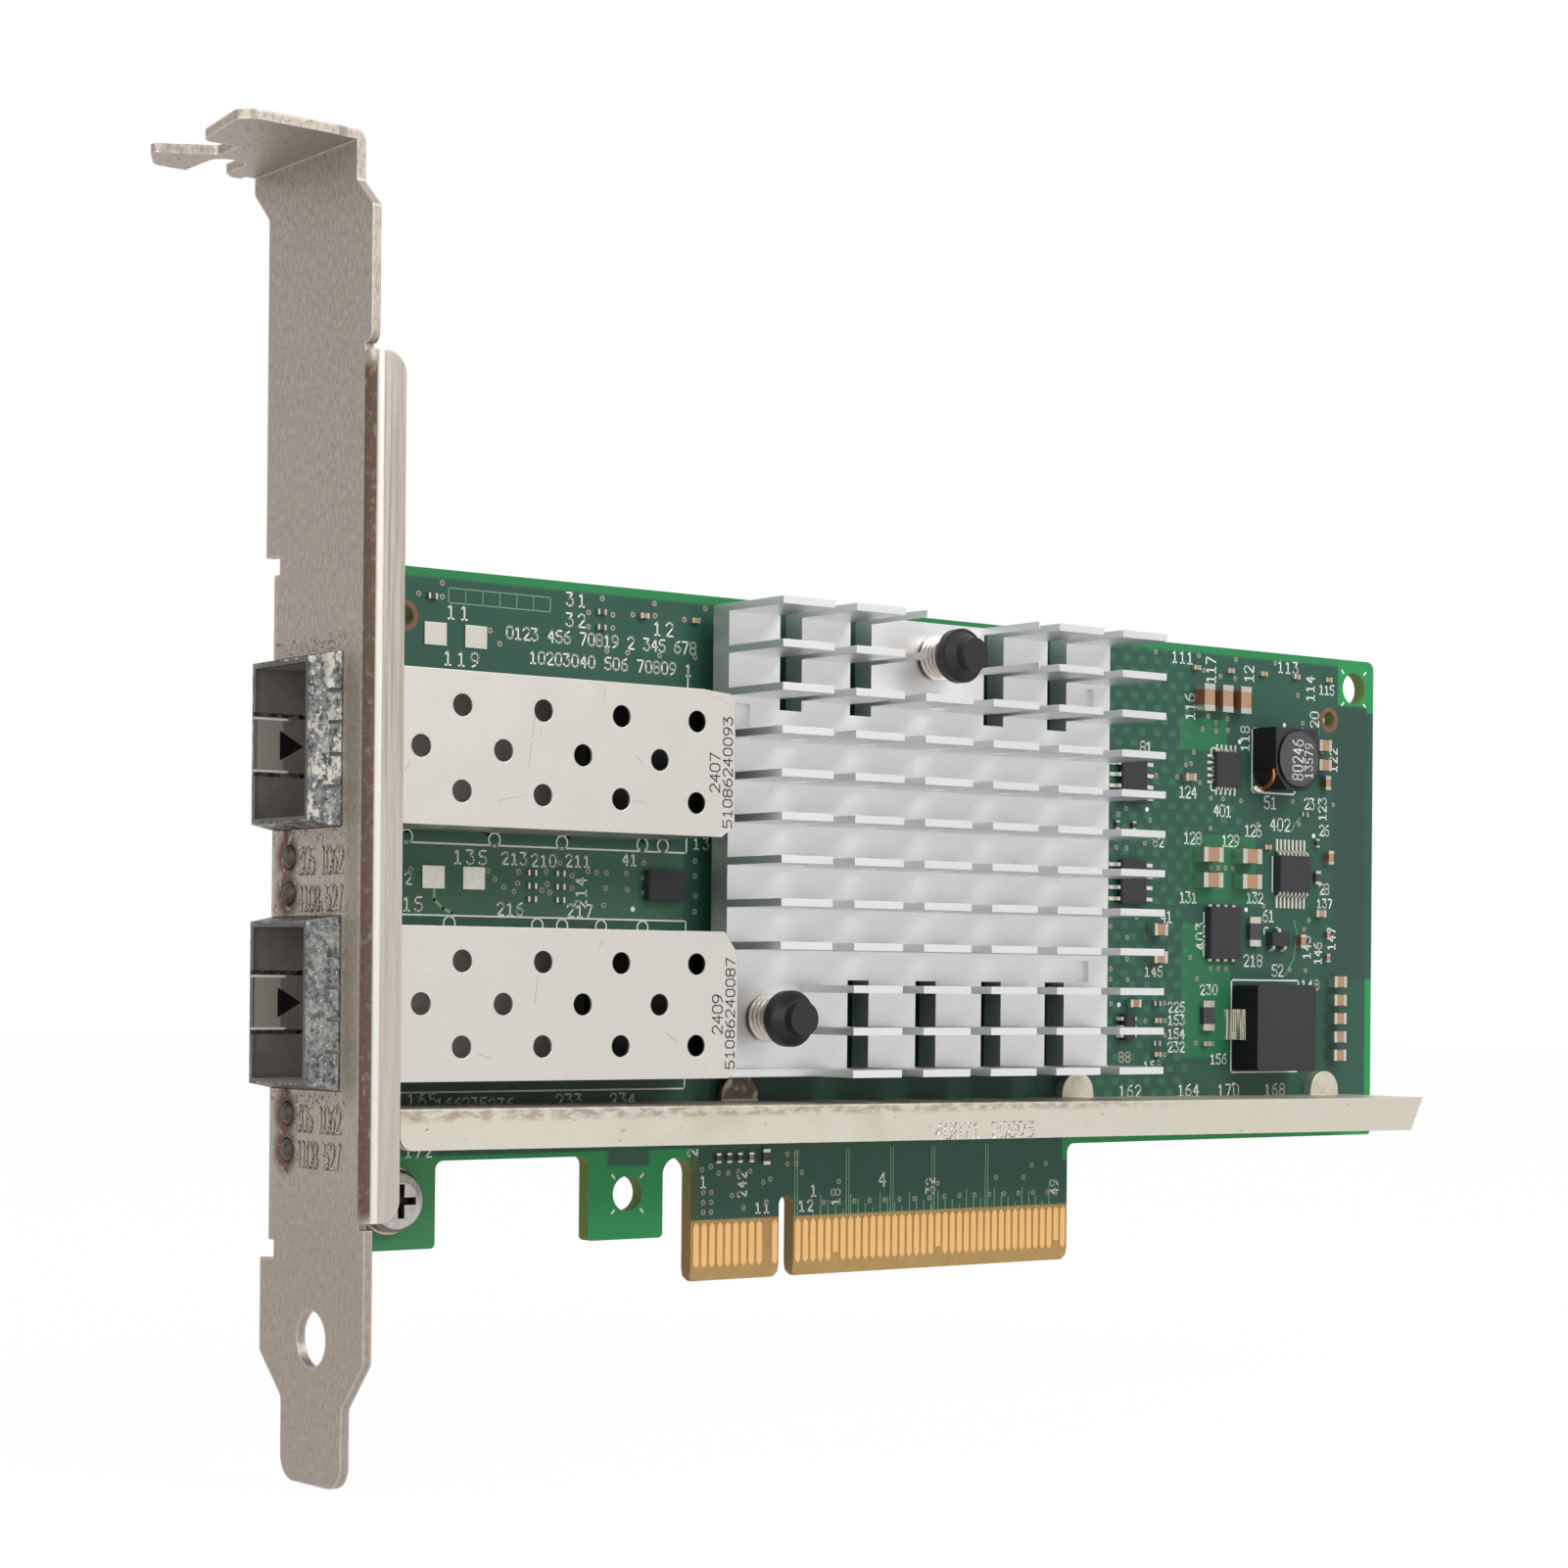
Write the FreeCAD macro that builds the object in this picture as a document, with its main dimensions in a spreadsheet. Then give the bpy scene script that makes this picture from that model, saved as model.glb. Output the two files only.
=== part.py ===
import FreeCAD, Part
import math
import os
import Sketcher

# Dual-port network interface card on a full-height bracket, in millimetres.
# +X runs from the bracket along the card, +Z is up from the edge connector,
# and the parts stand on the board's front face, which looks towards -Y.
# The origin is the middle of the board at the foot of the key notch.

Vector = FreeCAD.Vector
doc = FreeCAD.newDocument("network_card")

SIZES = {
    # circuit board
    "board_thick": 1.57,
    "board_left": -56.6,
    "board_right": 88.23,
    "board_top": 68.9,
    "board_corner": 1.0,
    "outer_corner": 0.5,
    "foot_right": -42.2,
    "foot_bottom": 4.62,
    "cutout_top": 12.9,
    "cutout_corner": 0.9,
    "tab_left": -24.65,
    "tab_right": -15.65,
    "tab_bottom": 4.6,
    "slot_top": 12.5,
    "slot_corner": 1.7,
    "lower_edge": 12.716,
    "lower_corner": 1.0,
    "tongue_left": -12.15,
    "tongue_right": 39.15,
    "tongue_corner": 0.5,
    "key_width": 1.9,
    "key_top": 8.28,
    "key_corner": 0.9,
    "bevel_height": 1.285,
    "bevel_depth": 0.33,
    "tab_hole_x": -19.94,
    "tab_hole_z": 9.1,
    "tab_hole_wide": 3.5,
    "corner_hole_x": 84.8,
    "corner_hole_z": 65.57,
    "corner_hole_wide": 3.75,
    "plated_hole_wide": 1.9,
    "plated_right_x": 80.58,
    "plated_right_z": 61.66,
    "plated_left_x": -46.1,
    "plated_left_z": 64.24,
    # edge contacts
    "contact_pitch": 1.0,
    "contact_width": 0.7,
    "contact_thick": 0.05,
    "contact_top": 5.903,
    "contact_point": 0.4,
    "contact_first": 1.5,
    "contact_short_foot": 2.2,
    # bracket
    "sheet_thick": 0.86,
    "bracket_face": -59.817,
    "bracket_far": 1.002,
    "bracket_width": 18.42,
    "bracket_top": 104.777,
    "bracket_bottom": -15.24,
    "near_shoulder_low": 97.8,
    "near_shoulder_high": 100.3,
    "near_shoulder_step": 2.75,
    "far_shoulder_low": 99.58,
    "far_shoulder_high": 102.35,
    "far_shoulder_step": 2.8,
    "near_waist_high": -3.75,
    "near_waist_low": -8.0,
    "near_waist_step": 3.7,
    "far_waist_high": -4.02,
    "far_waist_low": -7.82,
    "far_waist_step": 4.0,
    "tip_corner": 2.3,
    "near_flange_low": 8.6,
    "near_flange_high": 85.1,
    "near_flange_reach": 3.42,
    "near_flange_proud": 0.27,
    "near_flange_bend": 1.1,
    "near_flange_corner": 2.0,
    "near_relief": 0.6,
    "far_flange_low": 6.2,
    "far_flange_high": 66.8,
    "far_flange_reach": 5.8,
    "far_flange_bend": 2.9,
    "far_relief_wide": 1.7,
    "far_relief_deep": 2.5,
    "bracket_hole_drop": 2.2,
    "bracket_hole_y": -8.385,
    "bracket_hole_wide": 5.1,
    "port_margin_near": 2.44,
    "port_margin_far": 0.25,
    "port_margin_side": 0.675,
    "port_corner": 0.15,
    "led_hole_wide": 2.3,
    # bracket tab
    "tab_near": -14.9,
    "tab_out": -71.3,
    "tab_corner_out": 1.2,
    "tab_lobe_end": -5.45,
    "tab_notch_end": -1.75,
    "tab_notch_floor": -66.6,
    "tab_finger_out": -71.8,
    "tab_finger_bevel": 2.3,
    "tab_finger_neck": 1.6,
    "tab_finger_near": 0.4,
    "tab_finger_far": 5.1,
    "screw_slot_left": -66.3,
    "screw_slot_right": -62.85,
    "screw_slot_floor": -1.0,
    "screw_slot_corner": 1.6,
    "tab_stub_far": 4.7,
    "tab_stub_bevel": 1.0,
    "tab_notch_corner": 0.9,
    "fold_bend": 1.0,
    # bracket screws
    "screw_low_x": -47.5,
    "screw_low_z": 9.4,
    "screw_high_x": -51.5,
    "screw_high_z": 63.5,
    "screw_shank": 2.9,
    "screw_hole": 3.1,
    "screw_head_wide": 6.0,
    "screw_head_tall": 2.2,
    "screw_end": 0.8,
    "washer_wide": 6.5,
    "washer_thick": 0.4,
    "ear_margin": 3.6,
    "recess_long": 3.2,
    "recess_wide": 0.7,
    "recess_deep": 1.4,
    # transceiver cages
    "cage_front": -62.0,
    "cage_upper_rear": -14.5,
    "cage_lower_rear": -13.95,
    "cage_tall": 14.25,
    "cage_deep": 9.8,
    "cage_wall": 0.3,
    "cage_upper_z": 51.27,
    "cage_lower_z": 27.83,
    "upper_top_bevel_x": 3.9,
    "upper_top_bevel_z": 1.6,
    "upper_low_bevel_x": 2.1,
    "upper_low_bevel_z": 1.3,
    "lower_top_bevel_x": 1.6,
    "lower_top_bevel_z": 2.1,
    "lower_low_bevel_x": 1.0,
    "lower_low_bevel_z": 0.8,
    "vent_wide": 2.1,
    "vent_pitch": 8.9,
    "vent_outer_x": -45.8,
    "vent_middle_x": -50.2,
    "vent_rise": 3.94,
    "vent_lower_shift": 0.2,
    "pin_wide": 0.8,
    "pin_proud": 0.7,
    "pin_hole": 1.05,
    "upper_pin_x": -45.7,
    "lower_pin_x": -42.4,
    "pin_pitch": 9.1,
    "base_rear": -28.6,
    "latch_half": 2.7,
    "latch_slit": 0.4,
    "latch_root": -51.0,
    "catch_base_x": -59.4,
    "catch_apex_x": -57.0,
    "catch_half": 1.35,
    # contact springs around the cage mouths
    "spring_sheet": 0.2,
    "spring_gap": 0.05,
    "spring_crest_front": -59.95,
    "spring_crest_rear": -58.85,
    "spring_rear": -57.2,
    "slit_wide": 0.35,
    "slit_front": -60.7,
    "slit_rear": -57.7,
    "slit_pitch": 2.84,
    "side_slit_pitch": 3.4,
    # sockets inside the cages
    "socket_front": -27.0,
    "socket_rear": -16.2,
    "socket_tall": 11.2,
    "socket_deep": 5.6,
    "socket_slot_tall": 9.4,
    "socket_slot_low": 2.4,
    "socket_slot_high": 4.0,
    "socket_slot_depth": 7.0,
    # status lights
    "light_depth": 3.0,
    "light_upper_high": 40.98,
    "light_lower_high": 17.8,
    "light_pitch": 3.3,
    "light_wide": 2.1,
    "light_proud": 0.45,
    "light_box_gap": 0.1,
    "light_box_right": -54.2,
    "light_box_deep": 4.8,
    "light_box_margin": 1.5,
    # heat sink
    "sink_left": -11.5,
    "sink_right": 40.5,
    "sink_low_fin": 21.07,
    "fin_pitch": 4.2055,
    "fin_count": 12,
    "fin_thick": 0.75,
    "fin_tall": 8.75,
    "fin_margin": 0.1,
    "sink_lift": 2.1,
    "sink_base": 2.65,
    "cut_first_x": -3.7,
    "cut_pitch": 9.09,
    "cut_count": 5,
    "cut_wide": 2.8,
    "cut_stub": 1.0,
    "upper_cut_floor": 57.45,
    "lower_cut_floor": 30.38,
    "upper_bay_left": 6.8,
    "upper_bay_right": 22.05,
    "upper_bay_low": 61.0,
    "lower_bay_right": -2.3,
    "lower_bay_high": 31.6,
    "lower_bay_stub": 0.8,
    "dimple_wide": 1.9,
    "dimple_tall": 2.2,
    "dimple_deep": 0.5,
    "dimple_right_x": 37.1,
    "dimple_right_high": 61.1,
    "dimple_low_x": 36.7,
    "dimple_right_low": 31.6,
    "dimple_left_x": -9.8,
    "dimple_left_z": 56.7,
    # controller under the heat sink
    "chip_side": 25.0,
    "chip_tall": 1.85,
    "chip_x": 14.5,
    "chip_z": 44.1,
    "thermal_side": 19.0,
    # push pins and their springs
    "pin_low_x": -6.7,
    "pin_low_z": 26.5,
    "pin_high_x": 15.3,
    "pin_high_z": 64.0,
    "pin_shaft": 3.0,
    "pin_clear": 0.12,
    "pin_flange_wide": 5.6,
    "pin_flange_low": 8.3,
    "pin_flange_high": 9.3,
    "pin_neck_wide": 5.0,
    "pin_cone_wide": 3.6,
    "pin_cone_high": 10.3,
    "pin_cap_wide": 3.4,
    "pin_cap_high": 11.3,
    "barb_wide": 4.3,
    "barb_gap": 0.15,
    "barb_tall": 3.2,
    "barb_tip": 1.9,
    "barb_slit": 0.8,
    "coil_wide": 4.75,
    "coil_wire": 0.45,
    "coil_turns": 4.5,
    # stiffener bar
    "bar_sheet": 1.2,
    "bar_reach": 12.0,
    "bar_left": -53.4,
    "bar_right": 83.8,
    "bar_right_slant": 2.0,
    "bar_top": 18.05,
    "bar_tall": 3.75,
    "bar_slope": 0.0058,
    "bar_corner": 1.4,
    "ear_wide": 4.6,
    "ear_rise": 2.75,
    "ear_first_x": -7.0,
    "ear_second_x": 39.6,
    "ear_third_x": 79.0,
    "rivet_wide": 1.8,
    "rivet_rise": 1.35,
    "rivet_head": 3.4,
    "rivet_head_thick": 0.7,
    # round inductor
    "drum_x": 71.3,
    "drum_z": 56.4,
    "drum_wide": 6.4,
    "drum_tall": 4.0,
    "drum_plate": 0.9,
    "drum_rim": 0.95,
    "drum_core": 3.4,
    "winding_gap": 0.35,
    "shield_margin": 0.7,
    "shield_tall": 3.7,
    "shield_gap": 0.1,
    "shield_bevel": 1.9,
    # square inductor
    "choke_left": 64.7,
    "choke_right": 74.3,
    "choke_low": 20.5,
    "choke_high": 30.4,
    "choke_lift": 0.15,
    "choke_tall": 4.1,
    "choke_edge": 0.5,
    "clip_low": 24.06,
    "clip_high": 27.55,
    "clip_thick": 0.3,
    "clip_reach": 1.2,
    "clip_rise": 2.2,
    # leaded chips
    "lead_thick": 0.2,
    "lead_shoulder": 0.35,
    "so_body_x": 48.3,
    "so_upper_z": 53.0,
    "so_lower_z": 41.7,
    "so_body_wide": 3.95,
    "so_body_long": 4.9,
    "so_body_tall": 0.85,
    "so_lead_reach": 1.4,
    "so_lead_wide": 0.41,
    "so_lead_pitch": 1.27,
    "tssop_x": 74.07,
    "tssop_z": 43.3,
    "tssop_long": 5.1,
    "tssop_wide": 4.2,
    "tssop_tall": 1.1,
    "tssop_lead_reach": 1.9,
    "tssop_lead_wide": 0.25,
    "tssop_lead_pitch": 0.65,
    "small_x": 47.7,
    "small_z": 25.5,
    "small_long": 2.9,
    "small_wide": 1.6,
    "small_tall": 1.1,
    "sot_x": 71.75,
    "sot_z": 35.7,
    "sot_lead_pitch": 0.95,
    "sot_lead_reach": 0.6,
    "sot_lead_wide": 0.4,
    "chip_lift": 0.1,
    "chip_edge": 0.15,
    # flat chips
    "qfn_x": 63.4,
    "qfn_z": 54.95,
    "qfn_side": 4.0,
    "qfn_tall": 0.7,
    "qfn_pad_wide": 0.28,
    "qfn_pad_pitch": 0.5,
    "qfn_pad_reach": 0.35,
    "power_x": 62.79,
    "power_z": 36.25,
    "power_wide": 5.0,
    "power_long": 5.9,
    "power_tall": 1.0,
    "power_lead_pitch": 1.27,
    "power_lead_wide": 0.5,
    "power_lead_reach": 0.3,
    "quartz_x": -16.1,
    "quartz_z": 39.6,
    "quartz_long": 4.5,
    "quartz_wide": 3.0,
    "quartz_tall": 1.1,
    # chip capacitors and resistors
    "end_share": 0.22,
    "end_grow": 0.03,
    "large_cap_long": 3.1,
    "large_cap_wide": 1.62,
    "large_cap_tall": 1.65,
    "trio_x": 59.08,
    "trio_z": 62.92,
    "trio_pitch": 2.94,
    "quad_left_x": 59.9,
    "quad_right_x": 66.2,
    "quad_high_z": 45.1,
    "quad_low_z": 42.2,
    "mid_cap_long": 2.05,
    "mid_cap_wide": 1.26,
    "mid_cap_tall": 1.25,
    "column_x": 81.6,
    "column_z": 22.19,
    "column_pitch": 2.158,
    "pair_x": 78.7,
    "pair_high_z": 58.47,
    "pair_low_z": 56.18,
    "small_cap_long": 1.6,
    "small_cap_wide": 0.8,
    "small_cap_tall": 0.8,
    "small_cap_left_x": 57.1,
    "small_cap_left_z": 53.8,
    "small_cap_right_x": 79.7,
    "small_cap_right_z": 54.15,
    "small_cap_low_x": 78.7,
    "small_cap_low_z": 38.8,
    "tiny_cap_long": 1.0,
    "tiny_cap_wide": 0.5,
    "tiny_cap_tall": 0.5,
    "tiny_row_x": 58.25,
    "tiny_row_z": 66.3,
    "tiny_row_pitch": 5.45,
    "sense_long": 3.4,
    "sense_wide": 1.7,
    "sense_tall": 0.6,
    "sense_high_x": 67.88,
    "sense_high_z": 36.49,
    "sense_low_x": 60.44,
    "sense_low_z": 26.8,
    "tiny_res_tall": 0.35,
    "small_res_tall": 0.45,
    "between_x": -31.7,
    "between_z": 37.9,
    "between_pitch_x": 3.3,
    "between_pitch_z": 1.28,
    "corner_part_x": -43.2,
    "top_row_z": 66.25,
    "link_x": -23.8,
    "link_low_z": 64.75,
    "top_cap_x": -18.75,
    "top_cap_pitch": 6.35,
    "foot_row_x": -8.95,
    "foot_row_z": 12.33,
    "foot_row_pitch": 1.36,
    "foot_block_x": -2.9,
    "aisle_x": 52.1,
    "aisle_high_z": 36.45,
    "aisle_low_z": 33.35,
    "aisle_part_x": 52.5,
    "aisle_part_z": 22.45,
    "aisle_part_pitch": 1.9,
    "aisle_side_x": 48.7,
    "bench_x": 60.3,
    "bench_z": 23.6,
    "under_fin_x": 46.1,
    "under_fin_z": 48.0,
    "under_fin_pitch": 2.55,
    "edge_near_x": 78.5,
    "edge_high_z": 47.05,
    "edge_middle_z": 43.0,
    "edge_far_x": 80.3,
    "edge_far_z": 45.4,
    "edge_low_z": 36.3,
    "edge_foot_z": 33.6,
    "notch_part_x": 76.3,
    "notch_part_z": 50.35,
    "upright_x": 75.7,
    "upright_z": 35.5,
    "neck_part_x": 70.0,
    "neck_part_z": 46.3,
    # square tinned pads
    "pad_wide": 2.45,
    "pad_tall": 2.15,
    "pad_thick": 0.12,
    "pad_x": -42.75,
    "pad_pitch": 4.52,
    "pad_high_z": 62.75,
    "pad_low_z": 39.75,
}


class Size:
    """A length with the spreadsheet expression that gives it."""

    def __init__(self, value, formula=None):
        self.value = float(value)
        self.formula = formula if formula else repr(self.value)

    def __add__(self, other):
        other = as_size(other)
        return Size(self.value + other.value, f"({self.formula} + {other.formula})")

    def __sub__(self, other):
        other = as_size(other)
        return Size(self.value - other.value, f"({self.formula} - {other.formula})")

    def __mul__(self, other):
        other = as_size(other)
        return Size(self.value * other.value, f"({self.formula} * {other.formula})")

    def __truediv__(self, other):
        other = as_size(other)
        return Size(self.value / other.value, f"({self.formula} / {other.formula})")

    def __radd__(self, other):
        return as_size(other) + self

    def __rsub__(self, other):
        return as_size(other) - self

    def __rmul__(self, other):
        return as_size(other) * self

    def __neg__(self):
        return Size(-self.value, f"(-1 * {self.formula})")


def as_size(thing):
    """A plain number joins the arithmetic as itself."""
    return thing if isinstance(thing, Size) else Size(thing)


class SizeTable:
    """The spreadsheet's cells by name."""

    def __init__(self, sheet, values):
        self.values = {}
        for row, (name, value) in enumerate(values.items(), start=1):
            sheet.set(f"A{row}", name)
            sheet.set(f"B{row}", repr(value))
            sheet.setAlias(f"B{row}", name)
            self.values[name] = Size(value, f"{sheet.Name}.{name}")

    def __getattr__(self, name):
        return self.values[name]


sheet = doc.addObject("Spreadsheet::Sheet", "Sizes")
dim = SizeTable(sheet, SIZES)
doc.recompute()


def bind(thing, path, size):
    """Tie one property of a document object to the spreadsheet."""
    thing.setExpression(path, as_size(size).formula)


# Normal of each origin plane, as the global axis and the sign along it.
PLANE_AXIS = {"XY_Plane": "z", "XZ_Plane": "y", "YZ_Plane": "x"}
PLANE_SIGN = {"XY_Plane": 1, "XZ_Plane": -1, "YZ_Plane": 1}
PATTERN_AXIS = {"x": "X_Axis", "y": "Y_Axis", "z": "Z_Axis"}


def rectangle(low_x, high_x, low_y, high_y):
    """Corner points of an upright rectangle."""
    return [(low_x, low_y), (high_x, low_y), (high_x, high_y), (low_x, high_y)]


def centred(x, y, wide, tall):
    """Corner points of a rectangle about its centre."""
    return rectangle(x - wide / 2, x + wide / 2, y - tall / 2, y + tall / 2)


class Shaped:
    """A PartDesign body built up from sketches on its own origin planes."""

    def __init__(self, label):
        self.body = doc.addObject("PartDesign::Body", label)
        self.body.Label = label
        self.body.AllowCompound = True
        self.origin = {}
        for feature in self.body.Origin.OriginFeatures:
            self.origin[feature.Role] = feature
        self.count = 0

    def name(self, kind):
        self.count += 1
        return f"{self.body.Label}_{kind}_{self.count}"

    def sketch(self, plane, level, loops, shift=(0, 0)):
        """Closed outlines and circles, each point held by the sizes it comes from."""
        drawing = self.body.newObject("Sketcher::SketchObject", self.name("sketch"))
        drawing.AttachmentSupport = (self.origin[plane], [""])
        drawing.MapMode = "FlatFace"
        bind(drawing, "AttachmentOffset.Base.x", shift[0])
        bind(drawing, "AttachmentOffset.Base.y", shift[1])
        bind(drawing, "AttachmentOffset.Base.z", as_size(level) * PLANE_SIGN[plane])
        held = []
        for loop in loops:
            start = drawing.GeometryCount
            if isinstance(loop, tuple):
                x, y, wide = [as_size(size) for size in loop]
                centre = Vector(x.value, y.value, 0)
                circle = Part.Circle(centre, Vector(0, 0, 1), wide.value / 2)
                drawing.addGeometry(circle, False)
                held.append(("DistanceX", start, 3, x))
                held.append(("DistanceY", start, 3, y))
                held.append(("Diameter", start, None, wide))
                continue
            points = [(as_size(x), as_size(y)) for x, y in loop]
            lines = []
            for index, (x, y) in enumerate(points):
                next_x, next_y = points[(index + 1) % len(points)]
                begin = Vector(x.value, y.value, 0)
                end = Vector(next_x.value, next_y.value, 0)
                lines.append(Part.LineSegment(begin, end))
            drawing.addGeometry(lines, False)
            joints = []
            for index, (x, y) in enumerate(points):
                following = start + (index + 1) % len(points)
                joint = Sketcher.Constraint("Coincident", start + index, 2, following, 1)
                joints.append(joint)
                held.append(("DistanceX", start + index, 1, x))
                held.append(("DistanceY", start + index, 1, y))
            drawing.addConstraint(joints)
        rules = []
        for kind, geometry, point, size in held:
            if point is None:
                rules.append(Sketcher.Constraint(kind, geometry, size.value))
            else:
                rules.append(Sketcher.Constraint(kind, -1, 1, geometry, point, size.value))
        first = drawing.ConstraintCount
        drawing.addConstraint(rules)
        for index, (kind, geometry, point, size) in enumerate(held):
            bind(drawing, f"Constraints[{first + index}]", size)
        doc.recompute()
        return drawing

    def grow(self, kind, plane, level, loops, length, toward):
        """Pad or pocket, towards + or - along the plane's own global axis."""
        drawing = self.sketch(plane, level, loops)
        before = self.volume()
        feature = self.body.newObject(f"PartDesign::{kind}", self.name(kind.lower()))
        feature.Profile = drawing
        sign = PLANE_SIGN[plane] if kind == "Pad" else -PLANE_SIGN[plane]
        if length is None:
            feature.Type = "ThroughAll"
            feature.SideType = "Symmetric"
        else:
            bind(feature, "Length", length)
            feature.Reversed = (toward != sign)
        self.body.Tip = feature
        doc.recompute()
        change = self.volume() - before
        if (change <= 0) if kind == "Pad" else (change >= 0):
            raise ValueError(f"{feature.Name} changes nothing")
        return feature

    def pad(self, plane, level, loops, length, toward=1):
        return self.grow("Pad", plane, level, loops, length, toward)

    def pocket(self, plane, level, loops, length=None, toward=1):
        return self.grow("Pocket", plane, level, loops, length, toward)

    def repeat(self, feature, axis, pitch, count, backward=False):
        """Copies of a feature in a row, at an even pitch."""
        row = self.body.newObject("PartDesign::LinearPattern", self.name("row"))
        row.Originals = [feature]
        row.Direction = (self.origin[PATTERN_AXIS[axis]], [""])
        row.Reversed = backward
        bind(row, "Length", as_size(pitch) * (as_size(count) - 1))
        bind(row, "Occurrences", count)
        self.body.Tip = row
        doc.recompute()
        return row

    def turn(self, x, z, profile):
        """Revolve a profile of (radius, y) points about an axis along Y."""
        drawing = self.sketch("XY_Plane", z, [profile], (x, 0))
        feature = self.body.newObject("PartDesign::Revolution", self.name("turn"))
        feature.Profile = drawing
        feature.ReferenceAxis = (drawing, ["V_Axis"])
        feature.Angle = 360
        self.body.Tip = feature
        doc.recompute()
        return feature

    def round(self, kind, size, axis, spots):
        """Fillet or chamfer the straight edges along an axis through the spots."""
        shape = self.body.Tip.Shape
        others = [name for name in "xyz" if name != axis]
        chosen = []
        for number, edge in enumerate(shape.Edges, start=1):
            if edge.Curve.TypeId != "Part::GeomLine":
                continue
            run = edge.Vertexes[-1].Point - edge.Vertexes[0].Point
            across = math.hypot(getattr(run, others[0]), getattr(run, others[1]))
            if across > 1e-6:
                continue
            middle = edge.CenterOfMass
            for spot in spots:
                first = getattr(middle, others[0]) - as_size(spot[0]).value
                second = getattr(middle, others[1]) - as_size(spot[1]).value
                if math.hypot(first, second) < 1e-4:
                    chosen.append(f"Edge{number}")
        if len(chosen) < len(spots):
            raise ValueError(f"{self.body.Label}: {len(chosen)} of {len(spots)} edges")
        base = self.body.Tip
        feature = self.body.newObject(f"PartDesign::{kind}", self.name(kind.lower()))
        feature.Base = (base, chosen)
        bind(feature, "Radius" if kind == "Fillet" else "Size", size)
        self.body.Tip = feature
        doc.recompute()
        return feature

    def volume(self):
        tip = self.body.Tip
        return tip.Shape.Volume if tip and not tip.Shape.isNull() else 0.0


def place(thing, x, y, z):
    """Bind the position of a Part object."""
    bind(thing, "Placement.Base.x", x)
    bind(thing, "Placement.Base.y", y)
    bind(thing, "Placement.Base.z", z)


def block(label, x, y, z):
    """A box between a low and a high value on each axis."""
    box = doc.addObject("Part::Box", label)
    box.Label = label
    for path, (low, high) in zip(("Length", "Width", "Height"), (x, y, z)):
        bind(box, path, as_size(high) - low)
    place(box, x[0], y[0], z[0])
    return box


TURNS = {
    "-x": FreeCAD.Rotation(Vector(0, 1, 0), -90),
    "+x": FreeCAD.Rotation(Vector(0, 1, 0), 90),
    "-y": FreeCAD.Rotation(Vector(1, 0, 0), 90),
    "+y": FreeCAD.Rotation(Vector(1, 0, 0), -90),
}


def rod(label, x, y, z, wide, length, way):
    """A cylinder that starts at a point and runs one way."""
    cylinder = doc.addObject("Part::Cylinder", label)
    cylinder.Label = label
    cylinder.Placement = FreeCAD.Placement(Vector(), TURNS[way])
    bind(cylinder, "Radius", as_size(wide) / 2)
    bind(cylinder, "Height", length)
    place(cylinder, x, y, z)
    return cylinder


def difference(label, base, tool):
    cut = doc.addObject("Part::Cut", label)
    cut.Label = label
    cut.Base = base
    cut.Tool = tool
    doc.recompute()
    if cut.Shape.Volume >= base.Shape.Volume:
        raise ValueError(f"{label} cuts nothing")
    return cut


def union(label, pieces):
    fuse = doc.addObject("Part::MultiFuse", label)
    fuse.Label = label
    fuse.Shapes = pieces
    doc.recompute()
    return fuse


def group(label, pieces):
    """Separate solids kept together as one sub-part."""
    together = doc.addObject("Part::Compound", label)
    together.Label = label
    together.Links = pieces
    doc.recompute()
    return together


sub_parts = []


def keep(thing):
    """Record a finished sub-part for export."""
    sub_parts.append(thing.body if isinstance(thing, Shaped) else thing)
    return thing


# Front and rear faces of the board, and a point at a height above the front face.
front = -dim.board_thick / 2
rear = dim.board_thick / 2


def above(height):
    """The y of a point at a height above the board's front face."""
    return front - height


# ---------------------------------------------------------------- shared places
key_half = dim.key_width / 2
ear_line = dim.bar_top
ear_places = [dim.ear_first_x, dim.ear_second_x, dim.ear_third_x]
rivet_spots = [(x, ear_line - dim.bar_slope * x + dim.rivet_rise) for x in ear_places]
screw_spots = [(dim.screw_low_x, dim.screw_low_z), (dim.screw_high_x, dim.screw_high_z)]
push_spots = [(dim.pin_low_x, dim.pin_low_z), (dim.pin_high_x, dim.pin_high_z)]
cage_half = dim.cage_tall / 2
port_near = above(dim.cage_deep) - dim.port_margin_near
port_far = front + dim.port_margin_far
port_half = cage_half + dim.port_margin_side
wall_middle = cage_half - dim.cage_wall / 2
cage_pin_spots = {}
for port, middle_z, first_x in (
    ("upper", dim.cage_upper_z, dim.upper_pin_x),
    ("lower", dim.cage_lower_z, dim.lower_pin_x),
):
    spots = []
    for number in range(4):
        for side in (-1, 1):
            spots.append((first_x + dim.pin_pitch * number, middle_z + wall_middle * side))
    cage_pin_spots[port] = spots


# ---------------------------------------------------------------- circuit board
# Outline with the bracket's foot, the hold-down tab and the keyed contact tongue.
board = Shaped("circuit_board")
outline = [
    (dim.board_left, dim.foot_bottom),
    (dim.foot_right, dim.foot_bottom),
    (dim.foot_right, dim.cutout_top),
    (dim.tab_left, dim.cutout_top),
    (dim.tab_left, dim.tab_bottom),
    (dim.tab_right, dim.tab_bottom),
    (dim.tab_right, dim.slot_top),
    (dim.tongue_left, dim.slot_top),
    (dim.tongue_left, 0),
    (-key_half, 0),
    (-key_half, dim.key_top),
    (key_half, dim.key_top),
    (key_half, 0),
    (dim.tongue_right, 0),
    (dim.tongue_right, dim.lower_edge),
    (dim.board_right, dim.lower_edge),
    (dim.board_right, dim.board_top),
    (dim.board_left, dim.board_top),
]
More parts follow.
